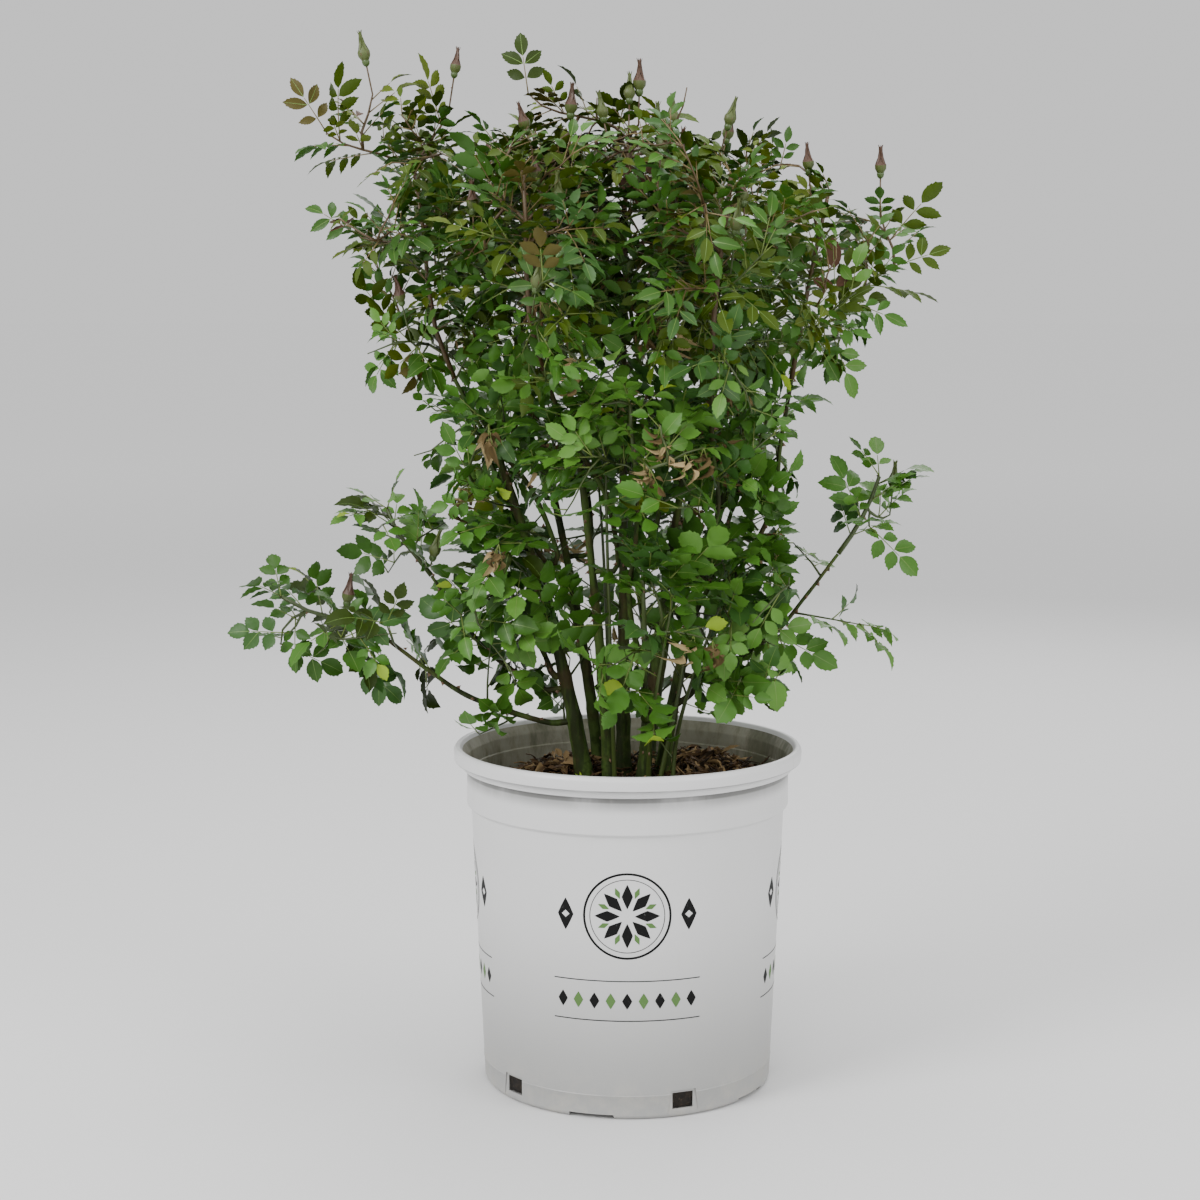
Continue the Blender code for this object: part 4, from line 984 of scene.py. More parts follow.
def growWood(mass):
    c, rule = crown, mass["rule"]
    path, radii, samples = growStem(mass)
    mass["wood"], mass["skeleton"], mass["twigs"] = np.zeros((0, 4)), [], []
    keepTwig(mass, path, radii, samples, "stem")
    mass["skeleton"] += [(a.lerp(b, 0.5), (b - a).normalized()) for a, b in zip(path, path[1:])]
    full = c["fullness"][mass["name"]]
    count = round(mass["reach"].z * c["twigShare"] * full)
    plain = [(place, "plain") for place in shellEnds(mass, count, c["twigReach"], [path[0]])]
    shoots = sorted(mass["shoots"], key=lambda row: (row[0] - path[0]).length)
    first = [row for row in shoots if row[1] != "highBud"]
    last = [row for row in shoots if row[1] == "highBud"]
    for tip, kind in first + plain + last:
        if kind != "plain" or not isSprig(mass, tip) or rule.random() <= c["sprigShare"]:
            growTo(mass, tip, kind)
    growFine(mass, full)


def nearestMass(masses, place):
    hearts, _, weights = next(iter(masses.values()))["field"]
    power = ((hearts - np.array(place)) ** 2).sum(axis=1) - weights
    return list(masses.values())[int(power.argmin())]


def growSoilShoots(masses, limbs, rule):
    # slim leafy shoots from the soil between the canes
    c = crown
    taken = np.vstack([one["samples"] for one in limbs])
    found = 0
    for trial in range(c["shootTries"]):
        if found == c["shoots"]:
            break
        angle, away = rule.uniform(0, math.tau), rule.uniform(*c["shootFoot"])
        wide = rule.uniform(*c["shootSpread"])
        foot = Vector((away * math.cos(angle), away * math.sin(angle), soil["top"] - c["shootSunk"]))
        end = Vector((foot.x * wide, foot.y * wide, rule.uniform(*c["shootTop"])))
        end += anyWay(rule) * c["shootStray"]
        leaving, arriving = ((up + anyWay(rule) * sway).normalized() for sway in c["shootSway"])
        path = curve(foot, leaving, end, arriving, c["shootSteps"])
        radii = shrink(*c["shootRadius"], len(path))
        samples = spaced(path, radii)
        if isClear(samples, taken, c["shootGap"]):
            taken = np.vstack([taken, samples])
            keepTwig(nearestMass(masses, end), path, radii, samples, "side")
            found += 1


def growSideShoots(wood, masses, rule, lowest, kind="side"):
    # short leafy shoots straight from a cane or bough, every gap on its own side
    c = crown
    gap, hold = (c["looseGap"], "strays") if kind == "loose" else (1.0, "cell")
    angle, run = rule.uniform(0, math.tau), 0.0
    for a, b, radius in zip(wood["path"][1:], wood["path"][2:], wood["radii"][1:]):
        span = (b - a).length
        heading = (b - a).normalized()
        while run < span:
            place = a.lerp(b, run / span)
            run += rule.uniform(*c["sideGap"]) * gap
            angle += golden
            if place.z < lowest and (place.z < c["lowSideFrom"] or rule.random() > c["lowSideShare"]):
                continue
            side = across(heading)
            out = swung(side, heading.cross(side), angle)
            way = (out + up * c["sideLift"] + anyWay(rule) * c["sideStray"]).normalized()
            end = place + way * rule.uniform(*c["sideReach"])
            mass = nearestMass(masses, end)
            start = (place + out * radius * c["sideSunk"], (out + heading * c["sideAlong"]).normalized())
            grown = growTwig(mass, end, way, c["fineFoot"], c["fineTip"], hold, c["fineGap"], [start])
            if grown:
                keepTwig(mass, *grown, kind)
        run -= span


# Leaves

leaf = {
    "rows": 7, "belly": 0.86, "blunt": 0.78, "pointed": 1.12, "tooth": 0.030, "toothFoot": 0.55,
    "toothTip": 0.95, "pleat": 0.055, "backArch": 0.18, "foldIn": 0.25,
    "ribWidth": (0.00050, 0.00012), "ribFrom": 0.0165, "ribOver": 0.00016, "ribSteps": 4, "ribEnd": 0.92,
    "upperSize": 0.0174, "lowerSize": 0.0210, "lowAt": 0.42, "highAt": 0.57, "sizeSpread": 0.22,
    "upperWidth": (0.42, 0.54), "lowerWidth": (0.62, 0.76),
    "rachis": (1.35, 1.70), "rachisBase": 0.55, "rachisPair": 0.22, "fullReach": 1.5 * 0.99 + 1.05,
    "pairAt": {1: (0.55,), 2: (0.42, 0.80), 3: (0.32, 0.60, 0.86)}, "pairAngle": 62,
    "angleSpread": (-12, 8),
    "firstScale": 0.80, "nextScale": 0.12, "endScale": 1.08, "longSpread": (0.88, 1.10), "sway": 0.22,
    "stalkRadius": 0.00042, "stalkTaper": (1.5, 0.7), "stalkSteps": 4, "ownStalk": 0.04,
    "gapUpper": 0.0078, "gapLower": 0.0168, "gapSpread": (0.8, 1.25), "firstAt": 0.010, "stemBare": 0.25,
    "endFree": 0.002, "crowd": 0.28, "crowdSize": 0.034, "boxFree": 0.003, "pointSize": 0.001,
    "fold": (0.10, 0.45), "arch": (0.05, 0.45), "archSpread": (0.5, 1.4), "droop": 2.4,
    "droopSpread": (0.4, 1.3),
    "lowest": 0.270, "outFacing": (0.95, 0.50), "upFacing": (0.50, 0.80), "faceStray": 0.40,
    "aimAlong": 0.45, "aimOut": 0.9, "aimAway": 0.45, "aimUp": 0.10, "aimStray": 0.2, "heartDrop": 0.02,
    "looseAlong": 0.4, "looseFront": 2, "looseSway": (-0.6, 0.4),
    "pairs": (1, 2, 2, 2), "highPairs": (1, 2, 2, 2, 3), "highPairsFrom": 0.6,
    "tries": 5, "smallerAfter": 2, "smaller": 0.85,
    "hold": {"bud": "near", "leaf": "near", "side": "cell", "loose": "strays"},
}


def leafletShape(power):
    # a serrated leaflet of unit length and width: its points as (along, across), and its triangles
    rows = leaf["rows"]

    def half(t):
        return 0.5 * math.sin(math.pi * min(1.0, t) ** leaf["belly"]) ** power

    points = [(k / rows, 0.0) for k in range(rows + 1)]
    faces = []
    for hand in (1, -1):
        edge = len(points)
        points += [(k / rows, hand * half(k / rows)) for k in range(1, rows)]
        tooth = len(points)
        for k in range(1, rows - 1):
            out = half((k + leaf["toothFoot"]) / rows) + leaf["tooth"]
            points.append(((k + leaf["toothTip"]) / rows, hand * out))
        made = [(0, edge, 1), (rows - 1, edge + rows - 2, rows)]
        for k in range(1, rows - 1):
            here = edge + k
            made += [(k, here - 1, here), (k, here, k + 1), (here - 1, tooth + k - 1, here)]
        faces += [f if hand < 0 else f[::-1] for f in made]
    return np.array(points), np.array(faces)


def mixBetween(low, high, share):
    return low + (high - low) * min(1.0, max(0.0, share))


def heightShare(z):
    # 0 where the leaves are the lower kind, 1 where they are the upper kind
    return (z - leaf["lowAt"]) / (leaf["highAt"] - leaf["lowAt"])


def leafSize(z, rule):
    size = mixBetween(leaf["lowerSize"], leaf["upperSize"], heightShare(z))
    return size * rule.uniform(1 - leaf["sizeSpread"], 1 + leaf["sizeSpread"])


def layLeaf(root, aim, normal, pairs, size, rule):
    # one compound leaf: its stalk as a path, and its leaflets as rows of
    # (root, along, across, above, length, width, fold, arch)
    f = leaf
    side = normal.cross(aim)
    length = size * rule.uniform(*f["rachis"]) * (f["rachisBase"] + f["rachisPair"] * pairs)
    droop = f["droop"] * rule.uniform(*f["droopSpread"])

    def at(u):
        return root + aim * u - normal * droop * u * u

    share = (f["highAt"] - root.z) / (f["highAt"] - f["lowAt"])
    width = mixBetween(rule.uniform(*f["upperWidth"]), rule.uniform(*f["lowerWidth"]), share)
    fold, arch = rule.uniform(*f["fold"]), rule.uniform(*f["arch"])
    rows = []
    spots = [(length * share, hand, f["firstScale"] + f["nextScale"] * k)
             for k, share in enumerate(f["pairAt"][pairs]) for hand in (-1, 1)] + [(length, 0, f["endScale"])]
    for u, hand, scale in spots:
        way = (aim - normal * 2 * droop * u).normalized()
        lift = (normal + anyWay(rule) * f["sway"]).normalized()
        turn = math.radians(f["pairAngle"] + rule.uniform(*f["angleSpread"])) * hand
        out = swung(way, side, turn).normalized()
        lift = (lift - out * lift.dot(out)).normalized()
        long = size * scale * rule.uniform(*f["longSpread"])
        start = at(u) + out * size * f["ownStalk"]
        rows.append((*start, *out, *lift.cross(out), *lift, long, long * width, fold,
                     arch * rule.uniform(*f["archSpread"])))
    return [at(length * k / f["stalkSteps"]) for k in range(f["stalkSteps"] + 1)], np.array(rows)


def middlesOf(rows):
    return rows[:, :3] + rows[:, 3:6] * rows[:, [12]] * 0.5


class Crowd:
    # remembers where leaflets are, so that new ones keep their distance
    def __init__(self, cell):
        self.cell, self.held = cell, {}

    def key(self, place):
        return tuple(int(math.floor(v / self.cell)) for v in place)

    def near(self, place, distance):
        a, b, c = self.key(place)
        for i in (a - 1, a, a + 1):
            for j in (b - 1, b, b + 1):
                for k in (c - 1, c, c + 1):
                    for other in self.held.get((i, j, k), ()):
                        if (other[0] - place[0]) ** 2 + (other[1] - place[1]) ** 2 \
                                + (other[2] - place[2]) ** 2 < distance ** 2:
                            return True
        return False

    def hold(self, place):
        self.held.setdefault(self.key(place), []).append(place)


def fitsCrown(mass, rows, crowd, hold):
    tips, middles = rows[:, :3] + rows[:, 3:6] * rows[:, [12]], middlesOf(rows)
    ends = np.hstack([np.vstack([tips, middles]), np.full((2 * len(rows), 1), leaf["pointSize"])])
    if not inBox(ends, leaf["boxFree"]) or float(roomFor(ends, mass, hold).min()) < -crown["spill"]:
        return False
    if float(ends[:, 2].min()) < leaf["lowest"]:
        return False
    if (np.hypot(ends[:, 0], ends[:, 1]) < np.interp(ends[:, 2], *zip(*crown["hollow"]))).any():
        return False
    return not any(crowd.near(tuple(middle), leaf["crowd"] * long)
                   for middle, long in zip(middles, rows[:, 12]))


def addLeafAt(mass, place, heading, angle, crowd, rule, hold="reach", shy=1.0):
    # a leaf from a twig, turned about it by an angle; other ways are tried where there is no room
    f = leaf
    side = across(heading)
    other = heading.cross(side)
    outward = (place - mass["heart"] + up * f["heartDrop"]).normalized()
    size = leafSize(place.z, rule) * shy
    if mass["name"] in crown["loose"]:
        front = outward.y * f["looseFront"] + rule.uniform(*f["looseSway"])
        outward = Vector((outward.x * f["looseAlong"], front, outward.z)).normalized()
    pairs = rule.choice(f["highPairs"] if place.z > f["highPairsFrom"] else f["pairs"])
    high = heightShare(place.z)
    facing = outward * mixBetween(*f["outFacing"], high) + up * mixBetween(*f["upFacing"], high)
    for trial in range(f["tries"]):
        radial = swung(side, other, angle)
        aim = (heading * f["aimAlong"] + radial * f["aimOut"] + outward * f["aimAway"] + up * f["aimUp"]
               + anyWay(rule) * f["aimStray"]).normalized()
        normal = facing + anyWay(rule) * f["faceStray"]
        normal = (normal - aim * normal.dot(aim)).normalized()
        stalk, rows = layLeaf(place, aim, normal, pairs, size, rule)
        if fitsCrown(mass, rows, crowd, hold):
            for middle in middlesOf(rows):
                crowd.hold(tuple(middle))
            return stalk, rows
        angle += golden
        if trial == f["smallerAfter"]:
            pairs, size = max(1, pairs - 1), size * f["smaller"]
    return None


def tint(red, green, blue):
    # a colour on the 0 to 255 screen scale, as the shader wants it
    return tuple(v / 255 / 12.92 if v < 10.3 else ((v / 255 + 0.055) / 1.055) ** 2.4
                 for v in (red, green, blue))


tones = {
    "shadeGreen": tint(42, 58, 10), "duskGreen": tint(62, 81, 15), "oliveGreen": tint(79, 94, 22),
    "bronze": tint(74, 68, 26), "wineRed": tint(74, 50, 34), "deepGreen": tint(50, 87, 20),
    "leafGreen": tint(65, 108, 32), "freshGreen": tint(78, 121, 41), "blueGreen": tint(50, 85, 33),
    "paleGreen": tint(94, 131, 57), "limeYellow": tint(130, 156, 44),
    "dryTan": tint(166, 146, 106), "dryBrown": tint(98, 82, 52),
    "litterDry": tint(134, 112, 78), "litterBrown": tint(74, 56, 36), "litterDark": tint(40, 30, 18),
}
# tones dealt by zone: the waist gets lighter greens as painted light against the crown's shade above it; the
# low zone on the right gets pale young greens, lighter partly as painted light; the bough zone on the left
# gets the dark shade green as painted shade
deal = {
    "tip": {"bronze": 1.8, "wineRed": 0.7, "oliveGreen": 4, "duskGreen": 4, "deepGreen": 1.4,
            "leafGreen": 0.6},
    "upper": {"duskGreen": 5.4, "oliveGreen": 2.0, "bronze": 0.22, "deepGreen": 5, "wineRed": 0.06,
              "leafGreen": 1.3, "blueGreen": 1.4, "freshGreen": 0.12, "limeYellow": 0.02},
    "waist": {"duskGreen": 0.3, "oliveGreen": 0.3, "deepGreen": 0.6, "leafGreen": 6.4, "blueGreen": 1.8,
              "freshGreen": 6.2, "paleGreen": 0.5, "limeYellow": 0.03},
    "bough": {"shadeGreen": 2.6, "deepGreen": 6, "leafGreen": 2.6, "blueGreen": 2, "freshGreen": 0.3,
              "limeYellow": 0.02},
    "lower": {"shadeGreen": 1.0, "deepGreen": 4.5, "leafGreen": 5, "blueGreen": 2.4, "freshGreen": 1.6,
              "paleGreen": 0.05, "limeYellow": 0.02},
    "youngAndLit": {"shadeGreen": 0.3, "deepGreen": 1.0, "leafGreen": 5, "blueGreen": 1.0, "freshGreen": 6.0,
              "paleGreen": 0.45, "limeYellow": 0.10},
    "zoneAbove": {"waist": 0.44, "upper": 0.55, "tip": 0.70}, "youngAndLitFrom": 0.05, "boughTo": -0.125,
    "blur": 0.035, "stray": 0.72, "yellowing": 0.055, "yellowBelow": 0.56, "yellowSize": 0.8,
    "shadeAbove": 0.53, "shadeWithin": 0.76, "shadeShare": 0.42,
    "sprigRed": ("wineRed", "bronze", "shadeGreen"),
}


def toneFor(place, rule):
    z = place.z + rule.uniform(-1, 1) * deal["blur"]
    # lighter tones at the waist and on the right are painted light, the dark ones on the left bough painted
    # shade
    zone = "youngAndLit" if place.x > deal["youngAndLitFrom"] else "bough" if place.x < deal["boughTo"] else "lower"
    for name, above in deal["zoneAbove"].items():
        if z > above:
            zone = name
    return rule.choices(list(deal[zone]), list(deal[zone].values()))[0]


def onLeaflets(rows, x, y):
    # places on every leaflet at x along and y across; x and y are arrays that fit (leaflets, points, 1)
    root, along, acrossLeaf, above = (rows[:, None, 3 * k:3 * k + 3] for k in range(4))
    long, wide, fold, arch = (rows[:, None, [k]] for k in range(12, 16))
    lift = fold * np.abs(y) * wide - arch * long * x * x
    lift = lift + leaf["pleat"] * wide * np.abs(y) * np.cos(math.pi * leaf["rows"] * x)
    return root + along * long * x * (1 - leaf["backArch"] * arch * x) \
        + acrossLeaf * wide * y * (1 - leaf["foldIn"] * fold) + above * lift


def leafletMesh(name, rows):
    # every leaflet of one tone as one mesh, worked out all at once
    rows = np.vstack(rows)
    (blunt, faces), (pointed, _) = leafletShape(leaf["blunt"]), leafletShape(leaf["pointed"])
    share = (rows[:, 12] - leaf["upperSize"]) / (leaf["lowerSize"] - leaf["upperSize"])
    share = np.clip(share, 0, 1)[:, None, None]
    shape = pointed[None] + (blunt - pointed)[None] * share
    points = onLeaflets(rows, shape[:, :, [0]], shape[:, :, [1]])
    steps = np.arange(len(rows))[:, None, None] * shape.shape[1]
    return meshFrom(name, points.reshape(-1, 3), (faces[None] + steps).reshape(-1, 3))


def ribMesh(name, rows):
    # the pale middle rib on the face of each larger leaflet
    rows = np.vstack(rows)
    rows = rows[rows[:, 12] > leaf["ribFrom"]]
    steps = leaf["ribSteps"]
    x = (np.arange(steps + 1) / steps * leaf["ribEnd"])[None, :, None]
    middle = onLeaflets(rows, x, np.zeros_like(x)) + rows[:, None, 9:12] * leaf["ribOver"]
    half = (leaf["ribWidth"][0] + (leaf["ribWidth"][1] - leaf["ribWidth"][0]) * x) / 2
    sides = [middle + rows[:, None, 6:9] * half * hand for hand in (-1, 1)]
    points = np.stack(sides, axis=2).reshape(-1, 3)
    quads = np.array([(2 * k, 2 * k + 1, 2 * k + 3, 2 * k + 2) for k in range(steps)])
    places = np.arange(len(rows))[:, None, None] * (2 * steps + 2)
    return meshFrom(name, points, (quads[None] + places).reshape(-1, 4))


def tube(path, radii, sides, foot=None):
    # a tapering round limb, closed at both ends; foot is the way that its first ring faces
    points, side = [], hint
    for k, (centre, heading, radius) in enumerate(zip(path, headings(path), radii)):
        heading = foot if foot and k == 0 else heading
        side = across(heading, side)
        other = heading.cross(side)
        points += [centre + swung(side, other, angle) * radius for angle in turns(sides)]
    return points, closedSleeve(len(path), sides)


# Buds

bud = {
    "length": 0.027, "radius": 0.0042, "scale": (0.94, 1.10), "stalk": (0.015, 0.030), "sides": 10,
    "sunk": 0.001, "hipLength": 0.0066, "hipRadius": 0.0028, "hipSteps": 6, "hipEnd": 0.18, "seat": 0.66,
    "profile": ((0.00, 0.44), (0.10, 0.76), (0.22, 0.97), (0.34, 1.00), (0.46, 0.80), (0.58, 0.50),
                (0.70, 0.28), (0.84, 0.13), (1.00, 0.03)),
    "sepals": 5, "sepalWidth": 0.0024, "sepalOver": 1.30, "sepalProud": 0.0003, "sepalCup": 0.32,
    "sepalRib": 0.0002, "sepalRungs": 7, "sepalTip": 0.06, "sepalFrom": 0.28, "sepalPower": 0.9,
    "sepalFlare": 0.0006, "flareSpread": (0.2, 1.6), "flareFrom": 0.75, "flareBy": 8,
    "greenShare": 0.35, "greenRungs": 2, "leafFree": 0.004,
}


def ringed(root, heading, profile, sides):
    # a turned shape about a heading; profile rows are (distance, radius)
    side = across(heading)
    other = heading.cross(side)
    points = [root + heading * d + swung(side, other, angle) * r
              for d, r in profile for angle in turns(sides)]
    return points, closedSleeve(len(profile), sides)


def sepalPoints(base, heading, out, length, scale, flare):
    # three points to a rung, the middle one a little proud
    b = bud
    beside = heading.cross(out)
    points = []
    for n in range(b["sepalRungs"] + 1):
        t = n / b["sepalRungs"] * b["sepalOver"]
        radius = b["radius"] * scale * np.interp(t, *zip(*b["profile"])) + b["sepalProud"]
        radius += flare * max(0.0, t - b["flareFrom"]) ** 2 * b["flareBy"]
        along = min(1.0, b["sepalFrom"] + (1 - b["sepalFrom"]) * n / b["sepalRungs"])
        half = b["sepalWidth"] * scale * (b["sepalTip"] + math.sin(math.pi * along) ** b["sepalPower"])
        middle = base + heading * length * t + out * radius
        cup = out * half * b["sepalCup"]
        points += [middle - beside * half - cup, middle + out * b["sepalRib"], middle + beside * half - cup]
    return points


def addBud(root, heading, scale, heaps, rule):
    # a hip, the furled petals on it, and sepals that are green at the foot or all the way
    b = bud
    hip = []
    for k in range(b["hipSteps"] + 1):
        a = math.pi * k / b["hipSteps"]
        hip.append((b["hipLength"] * scale * (1 - math.cos(a)) / 2,
                    b["hipRadius"] * scale * max(b["hipEnd"], math.sin(a))))
    heaps["budHip"].add(*ringed(root, heading, hip, b["sides"]))
    base = root + heading * b["hipLength"] * scale * b["seat"]
    length = (b["length"] - b["hipLength"]) * scale / b["sepalOver"]
    profile = [(length * t, b["radius"] * scale * r) for t, r in b["profile"]]
    heaps["budPetal"].add(*ringed(base, heading, profile, b["sides"]))
    side = across(heading)
    turn = rule.uniform(0, math.tau)
    greens = rule.random() < b["greenShare"]
    faces = [(k, k + 1, k + 4, k + 3) for n in range(b["sepalRungs"]) for k in (3 * n, 3 * n + 1)]
    lower = 3 * b["greenRungs"]
    for around in turns(b["sepals"]):
        out = Matrix.Rotation(turn + around, 3, heading) @ side
        flare = b["sepalFlare"] * rule.uniform(*b["flareSpread"])
        points = sepalPoints(base, heading, out, length, scale, flare)
        if greens:
            heaps["budSepalGreen"].add(points, faces)
        else:
            cut = 2 * b["greenRungs"]
            heaps["budSepalGreen"].add(points[:lower + 3], faces[:cut])
            heaps["budSepal"].add(points[lower:], [tuple(v - lower for v in face) for face in faces[cut:]])


# Bark, prickles and moss

bark = {
    "sides": 16, "boughSides": 10, "ringGap": 0.004, "ridge": 0.10, "ridgeWind": 2.6, "ridgeRun": 0.5,
    "lump": 0.09, "lumpScale": 90, "nodeGap": 0.034, "nodeRise": 0.10, "nodeWidth": 0.006,
    "prickle": (0.0022, 0.0042), "prickleFoot": 0.0011, "prickleSides": 5, "prickleSkip": 0.25,
    "prickleSunk": 0.85, "longWood": 0.004, "longLeast": 0.25, "footWood": 0.003, "footLeast": 0.2,
    "prickleRungs": ((0, 1.0), (0.45, 0.42)), "prickleSag": 0.30, "prickleTip": 0.42, "prickleTall": 1.7,
    "prickleGap": 0.0085, "boughGap": 1.5, "twigGap": 2, "prickleFrom": (0.01, 0.02), "twigPrickly": 0.0012,
    "olive": tint(34, 41, 15), "green": tint(60, 80, 29), "brown": tint(72, 56, 35),
    "moss": tint(32, 46, 14), "grey": tint(96, 90, 60), "mossTop": 0.30,
    "looseSlim": 0.78, "rootSlim": 0.9, "slimFrom": 0.27, "slimBy": 0.38, "slimTo": 0.68,
}


def between(path, radii, gap):
    # the path and radii at nearly even steps, rounded off through the given points
    fine, fineRadii = [], []
    for k in range(len(path) - 1):
        p1, p2 = path[k], path[k + 1]
        p0 = path[k - 1] if k else p1 * 2 - p2
        p3 = path[k + 2] if k + 2 < len(path) else p2 * 2 - p1
        steps = max(1, round((p2 - p1).length / gap))
        for n in range(steps):
            t = n / steps
            fine.append((p1 * 2 + (p2 - p0) * t + (p0 * 2 - p1 * 5 + p2 * 4 - p3) * t * t
                         + (p1 * 3 - p0 - p2 * 3 + p3) * t ** 3) / 2)
            fineRadii.append(radii[k] + (radii[k + 1] - radii[k]) * t)
    return fine + [path[-1]], fineRadii + [radii[-1]]


def slimmed(path, radii):
    # the solid canes are stout; the shown ones thin out above the foot
    return [r * float(np.interp(p.z, (bark["slimFrom"], bark["slimBy"]), (1.0, bark["slimTo"])))
            for p, r in zip(path, radii)]


def barkShape(path, radii, sides, foot, rule):
    b = bark
    fine, fineRadii = between(path, radii, b["ringGap"])
    points, faces = tube(fine, fineRadii, sides, foot)
    shift = Vector((rule.uniform(0, 9), rule.uniform(0, 9), rule.uniform(0, 9)))
    placed = []
    for k, point in enumerate(points):
        ring, n = divmod(k, sides)
        centre, angle = fine[ring], math.tau * n / sides
        run = ring * b["ringGap"] / b["nodeGap"]
        wind = b["ridgeWind"]
        around = Vector((math.cos(angle) * wind, math.sin(angle) * wind, run * b["ridgeRun"]))
        ridge = noise.noise(around + shift) * b["ridge"]
        lump = noise.noise(point * b["lumpScale"] + shift) * b["lump"]
        node = b["nodeRise"] * math.exp(-((run % 1) - 0.5) ** 2 / b["nodeWidth"])
        placed.append(centre + (point - centre) * (1 + ridge + lump + node * (0 < ring < len(fine) - 1)))
    return placed, faces


def addPrickles(heap, path, radii, gap, rule, start=bark["prickleFrom"][0]):
    b, sides = bark, bark["prickleSides"]
    fine, fineRadii = between(path, radii, gap)
    for centre, heading, radius in list(zip(fine, headings(fine), fineRadii))[1:]:
        if rule.random() < b["prickleSkip"] or centre.z < soil["top"] + start:
            continue
        out = across(heading, anyWay(rule))
        side = heading.cross(out)
        # shorter and finer on thin wood
        long = rule.uniform(*b["prickle"]) * min(1.0, radius / b["longWood"] + b["longLeast"])
        foot = b["prickleFoot"] * min(1.0, radius / b["footWood"] + b["footLeast"])
        base = centre + out * radius * b["prickleSunk"]
        points = []
        for share, width in b["prickleRungs"]:
            place = base + out * long * share - heading * long * b["prickleSag"] * share ** 2
            tall, flat = heading * foot * b["prickleTall"] * width, side * foot * width
            points += [place + tall * math.cos(a) + flat * math.sin(a) for a in turns(sides)]
        points.append(base + out * long - heading * long * b["prickleTip"])
        point = [(sides + n, sides + (n + 1) % sides, 2 * sides) for n in range(sides)]
        heap.add(points, sleeve(2, sides) + point)


def barkPaint(name, main, second, patch):
    paint = Paint(name, main, 0.65, Specular_IOR_Level=0.2)
    streaks = paint.cloud(70, 5, 0.62, (1, 1, 0.16))
    patches = paint.cloud(38, 4, 0.6).between(0.48, 0.66)
    low = 1 - paint.height().between(soil["top"] + 0.01, bark["mossTop"])
    moss = low * paint.cloud(130, 4, 0.6).between(0.40, 0.60)
    tone = paint.blend(streaks.between(0.42, 0.58), main, second)
    tone = paint.blend(patches * 0.55, tone, patch)
    tone = paint.blend(paint.cloud(700, 2).between(0.68, 0.76) * 0.6, tone, bark["grey"])
    paint.colour(paint.blend(moss * 0.8, tone, bark["moss"]))
    paint.rough(streaks * 0.2 + moss * 0.2 + 0.55)
    paint.relief(streaks + paint.cloud(420, 4, 0.7) * 0.5, 0.0006)
    return paint


# The bush

bush = {
    "finish": ((("dry", "litter"), 0.75, 0.15), (("leaf", "deep", "fresh", "pale", "blue"), 0.44, 0.28),
               ("", 0.50, 0.16)),
    "pairShare": 0.30, "pairTurn": 1.3, "pairSmaller": 0.22, "endTurn": 2.6, "endSize": 0.9,
    "backFrom": 0.05, "tuftLeaves": 4, "tuftSize": (0.009, 0.014), "tuftSpread": 0.55, "tuftSway": 0.4,
    "dryWithin": 0.80, "dryShrink": (0.42, 0.68), "dryCurl": (0.6, 1.6),
    "dryTones": ("dryTan", "dryBrown", "dryBrown"),
    "redAbove": 0.62, "redBlur": 0.04, "twigSides": 5, "stalkSides": 3, "near": 0.22, "tipFree": 0.006,
    "rib": tint(98, 128, 56),
    "pieces": {
        "twigGreen": ("twigsGreen", tint(56, 70, 26), 0.45),
        "twigRed": ("twigsRed", tint(78, 60, 34), 0.45),
        "stalkGreen": ("stalksGreen", tint(100, 118, 48), 0.45),
        "stalkRed": ("stalksRed", tint(106, 90, 50), 0.45), "prickle": ("prickles", tint(96, 70, 48), 0.5),
        "budHip": ("budHips", tint(66, 86, 38), 0.4), "budPetal": ("budPetals", tint(96, 48, 40), 0.5),
        "budSepal": ("budSepals", tint(74, 50, 34), 0.5),
        "budSepalGreen": ("budSepalsGreen", tint(74, 86, 36), 0.5),
    },
}


def leafPaint(name):
    rough, shine = next(row for kinds, *row in bush["finish"] if name.startswith(kinds))
    return Paint(name, tones[name], rough, Specular_IOR_Level=shine)


def curl(rows, rule):
    rows[:, 14] += rule.uniform(*bush["dryCurl"])
    rows[:, 15] += rule.uniform(*bush["dryCurl"])


def addTuft(twig, mass, sprays):
    # small withered leaves that hang from a twig's end
    rule, path = mass["rule"], twig["path"]
    for n in range(bush["tuftLeaves"]):
        aim = (anyWay(rule) * bush["tuftSpread"] - up).normalized()
        normal = across(aim, (path[-1] - mass["heart"]).normalized() + anyWay(rule) * bush["tuftSway"])
        stalk, rows = layLeaf(path[-1 - n % 2], aim, normal, 1, rule.uniform(*bush["tuftSize"]), rule)
        curl(rows, rule)
        sprays.append(("dryTan" if n % 2 else "dryBrown", stalk, rows))


def addTipLeaf(twig, spray, sprays, rule):
    # one leaf from a twig's end to the place that the twig was grown for
    end, tip = twig["path"][-1], twig["tip"]
    aim = (tip - end).normalized()
    normal = across(aim, Vector((0, 1 if tip.y > bush["backFrom"] else -1, 0.5)))
    if tip.z > deal["zoneAbove"]["tip"]:
        spray = rule.choice(deal["sprigRed"])
    sprays.append((spray, *layLeaf(end, aim, normal, 2, (tip - end).length / leaf["fullReach"], rule)))


def leafTone(place, spray, rule):
    # a leaf's own tone or its spray's; inside the upper crown some get the dark shade green as painted shade
    tone = toneFor(place, rule) if rule.random() < deal["stray"] else spray
    deep = place.z > deal["shadeAbove"] and outlineAt(place) < deal["shadeWithin"]
    return "shadeGreen" if deep and rule.random() < deal["shadeShare"] else tone


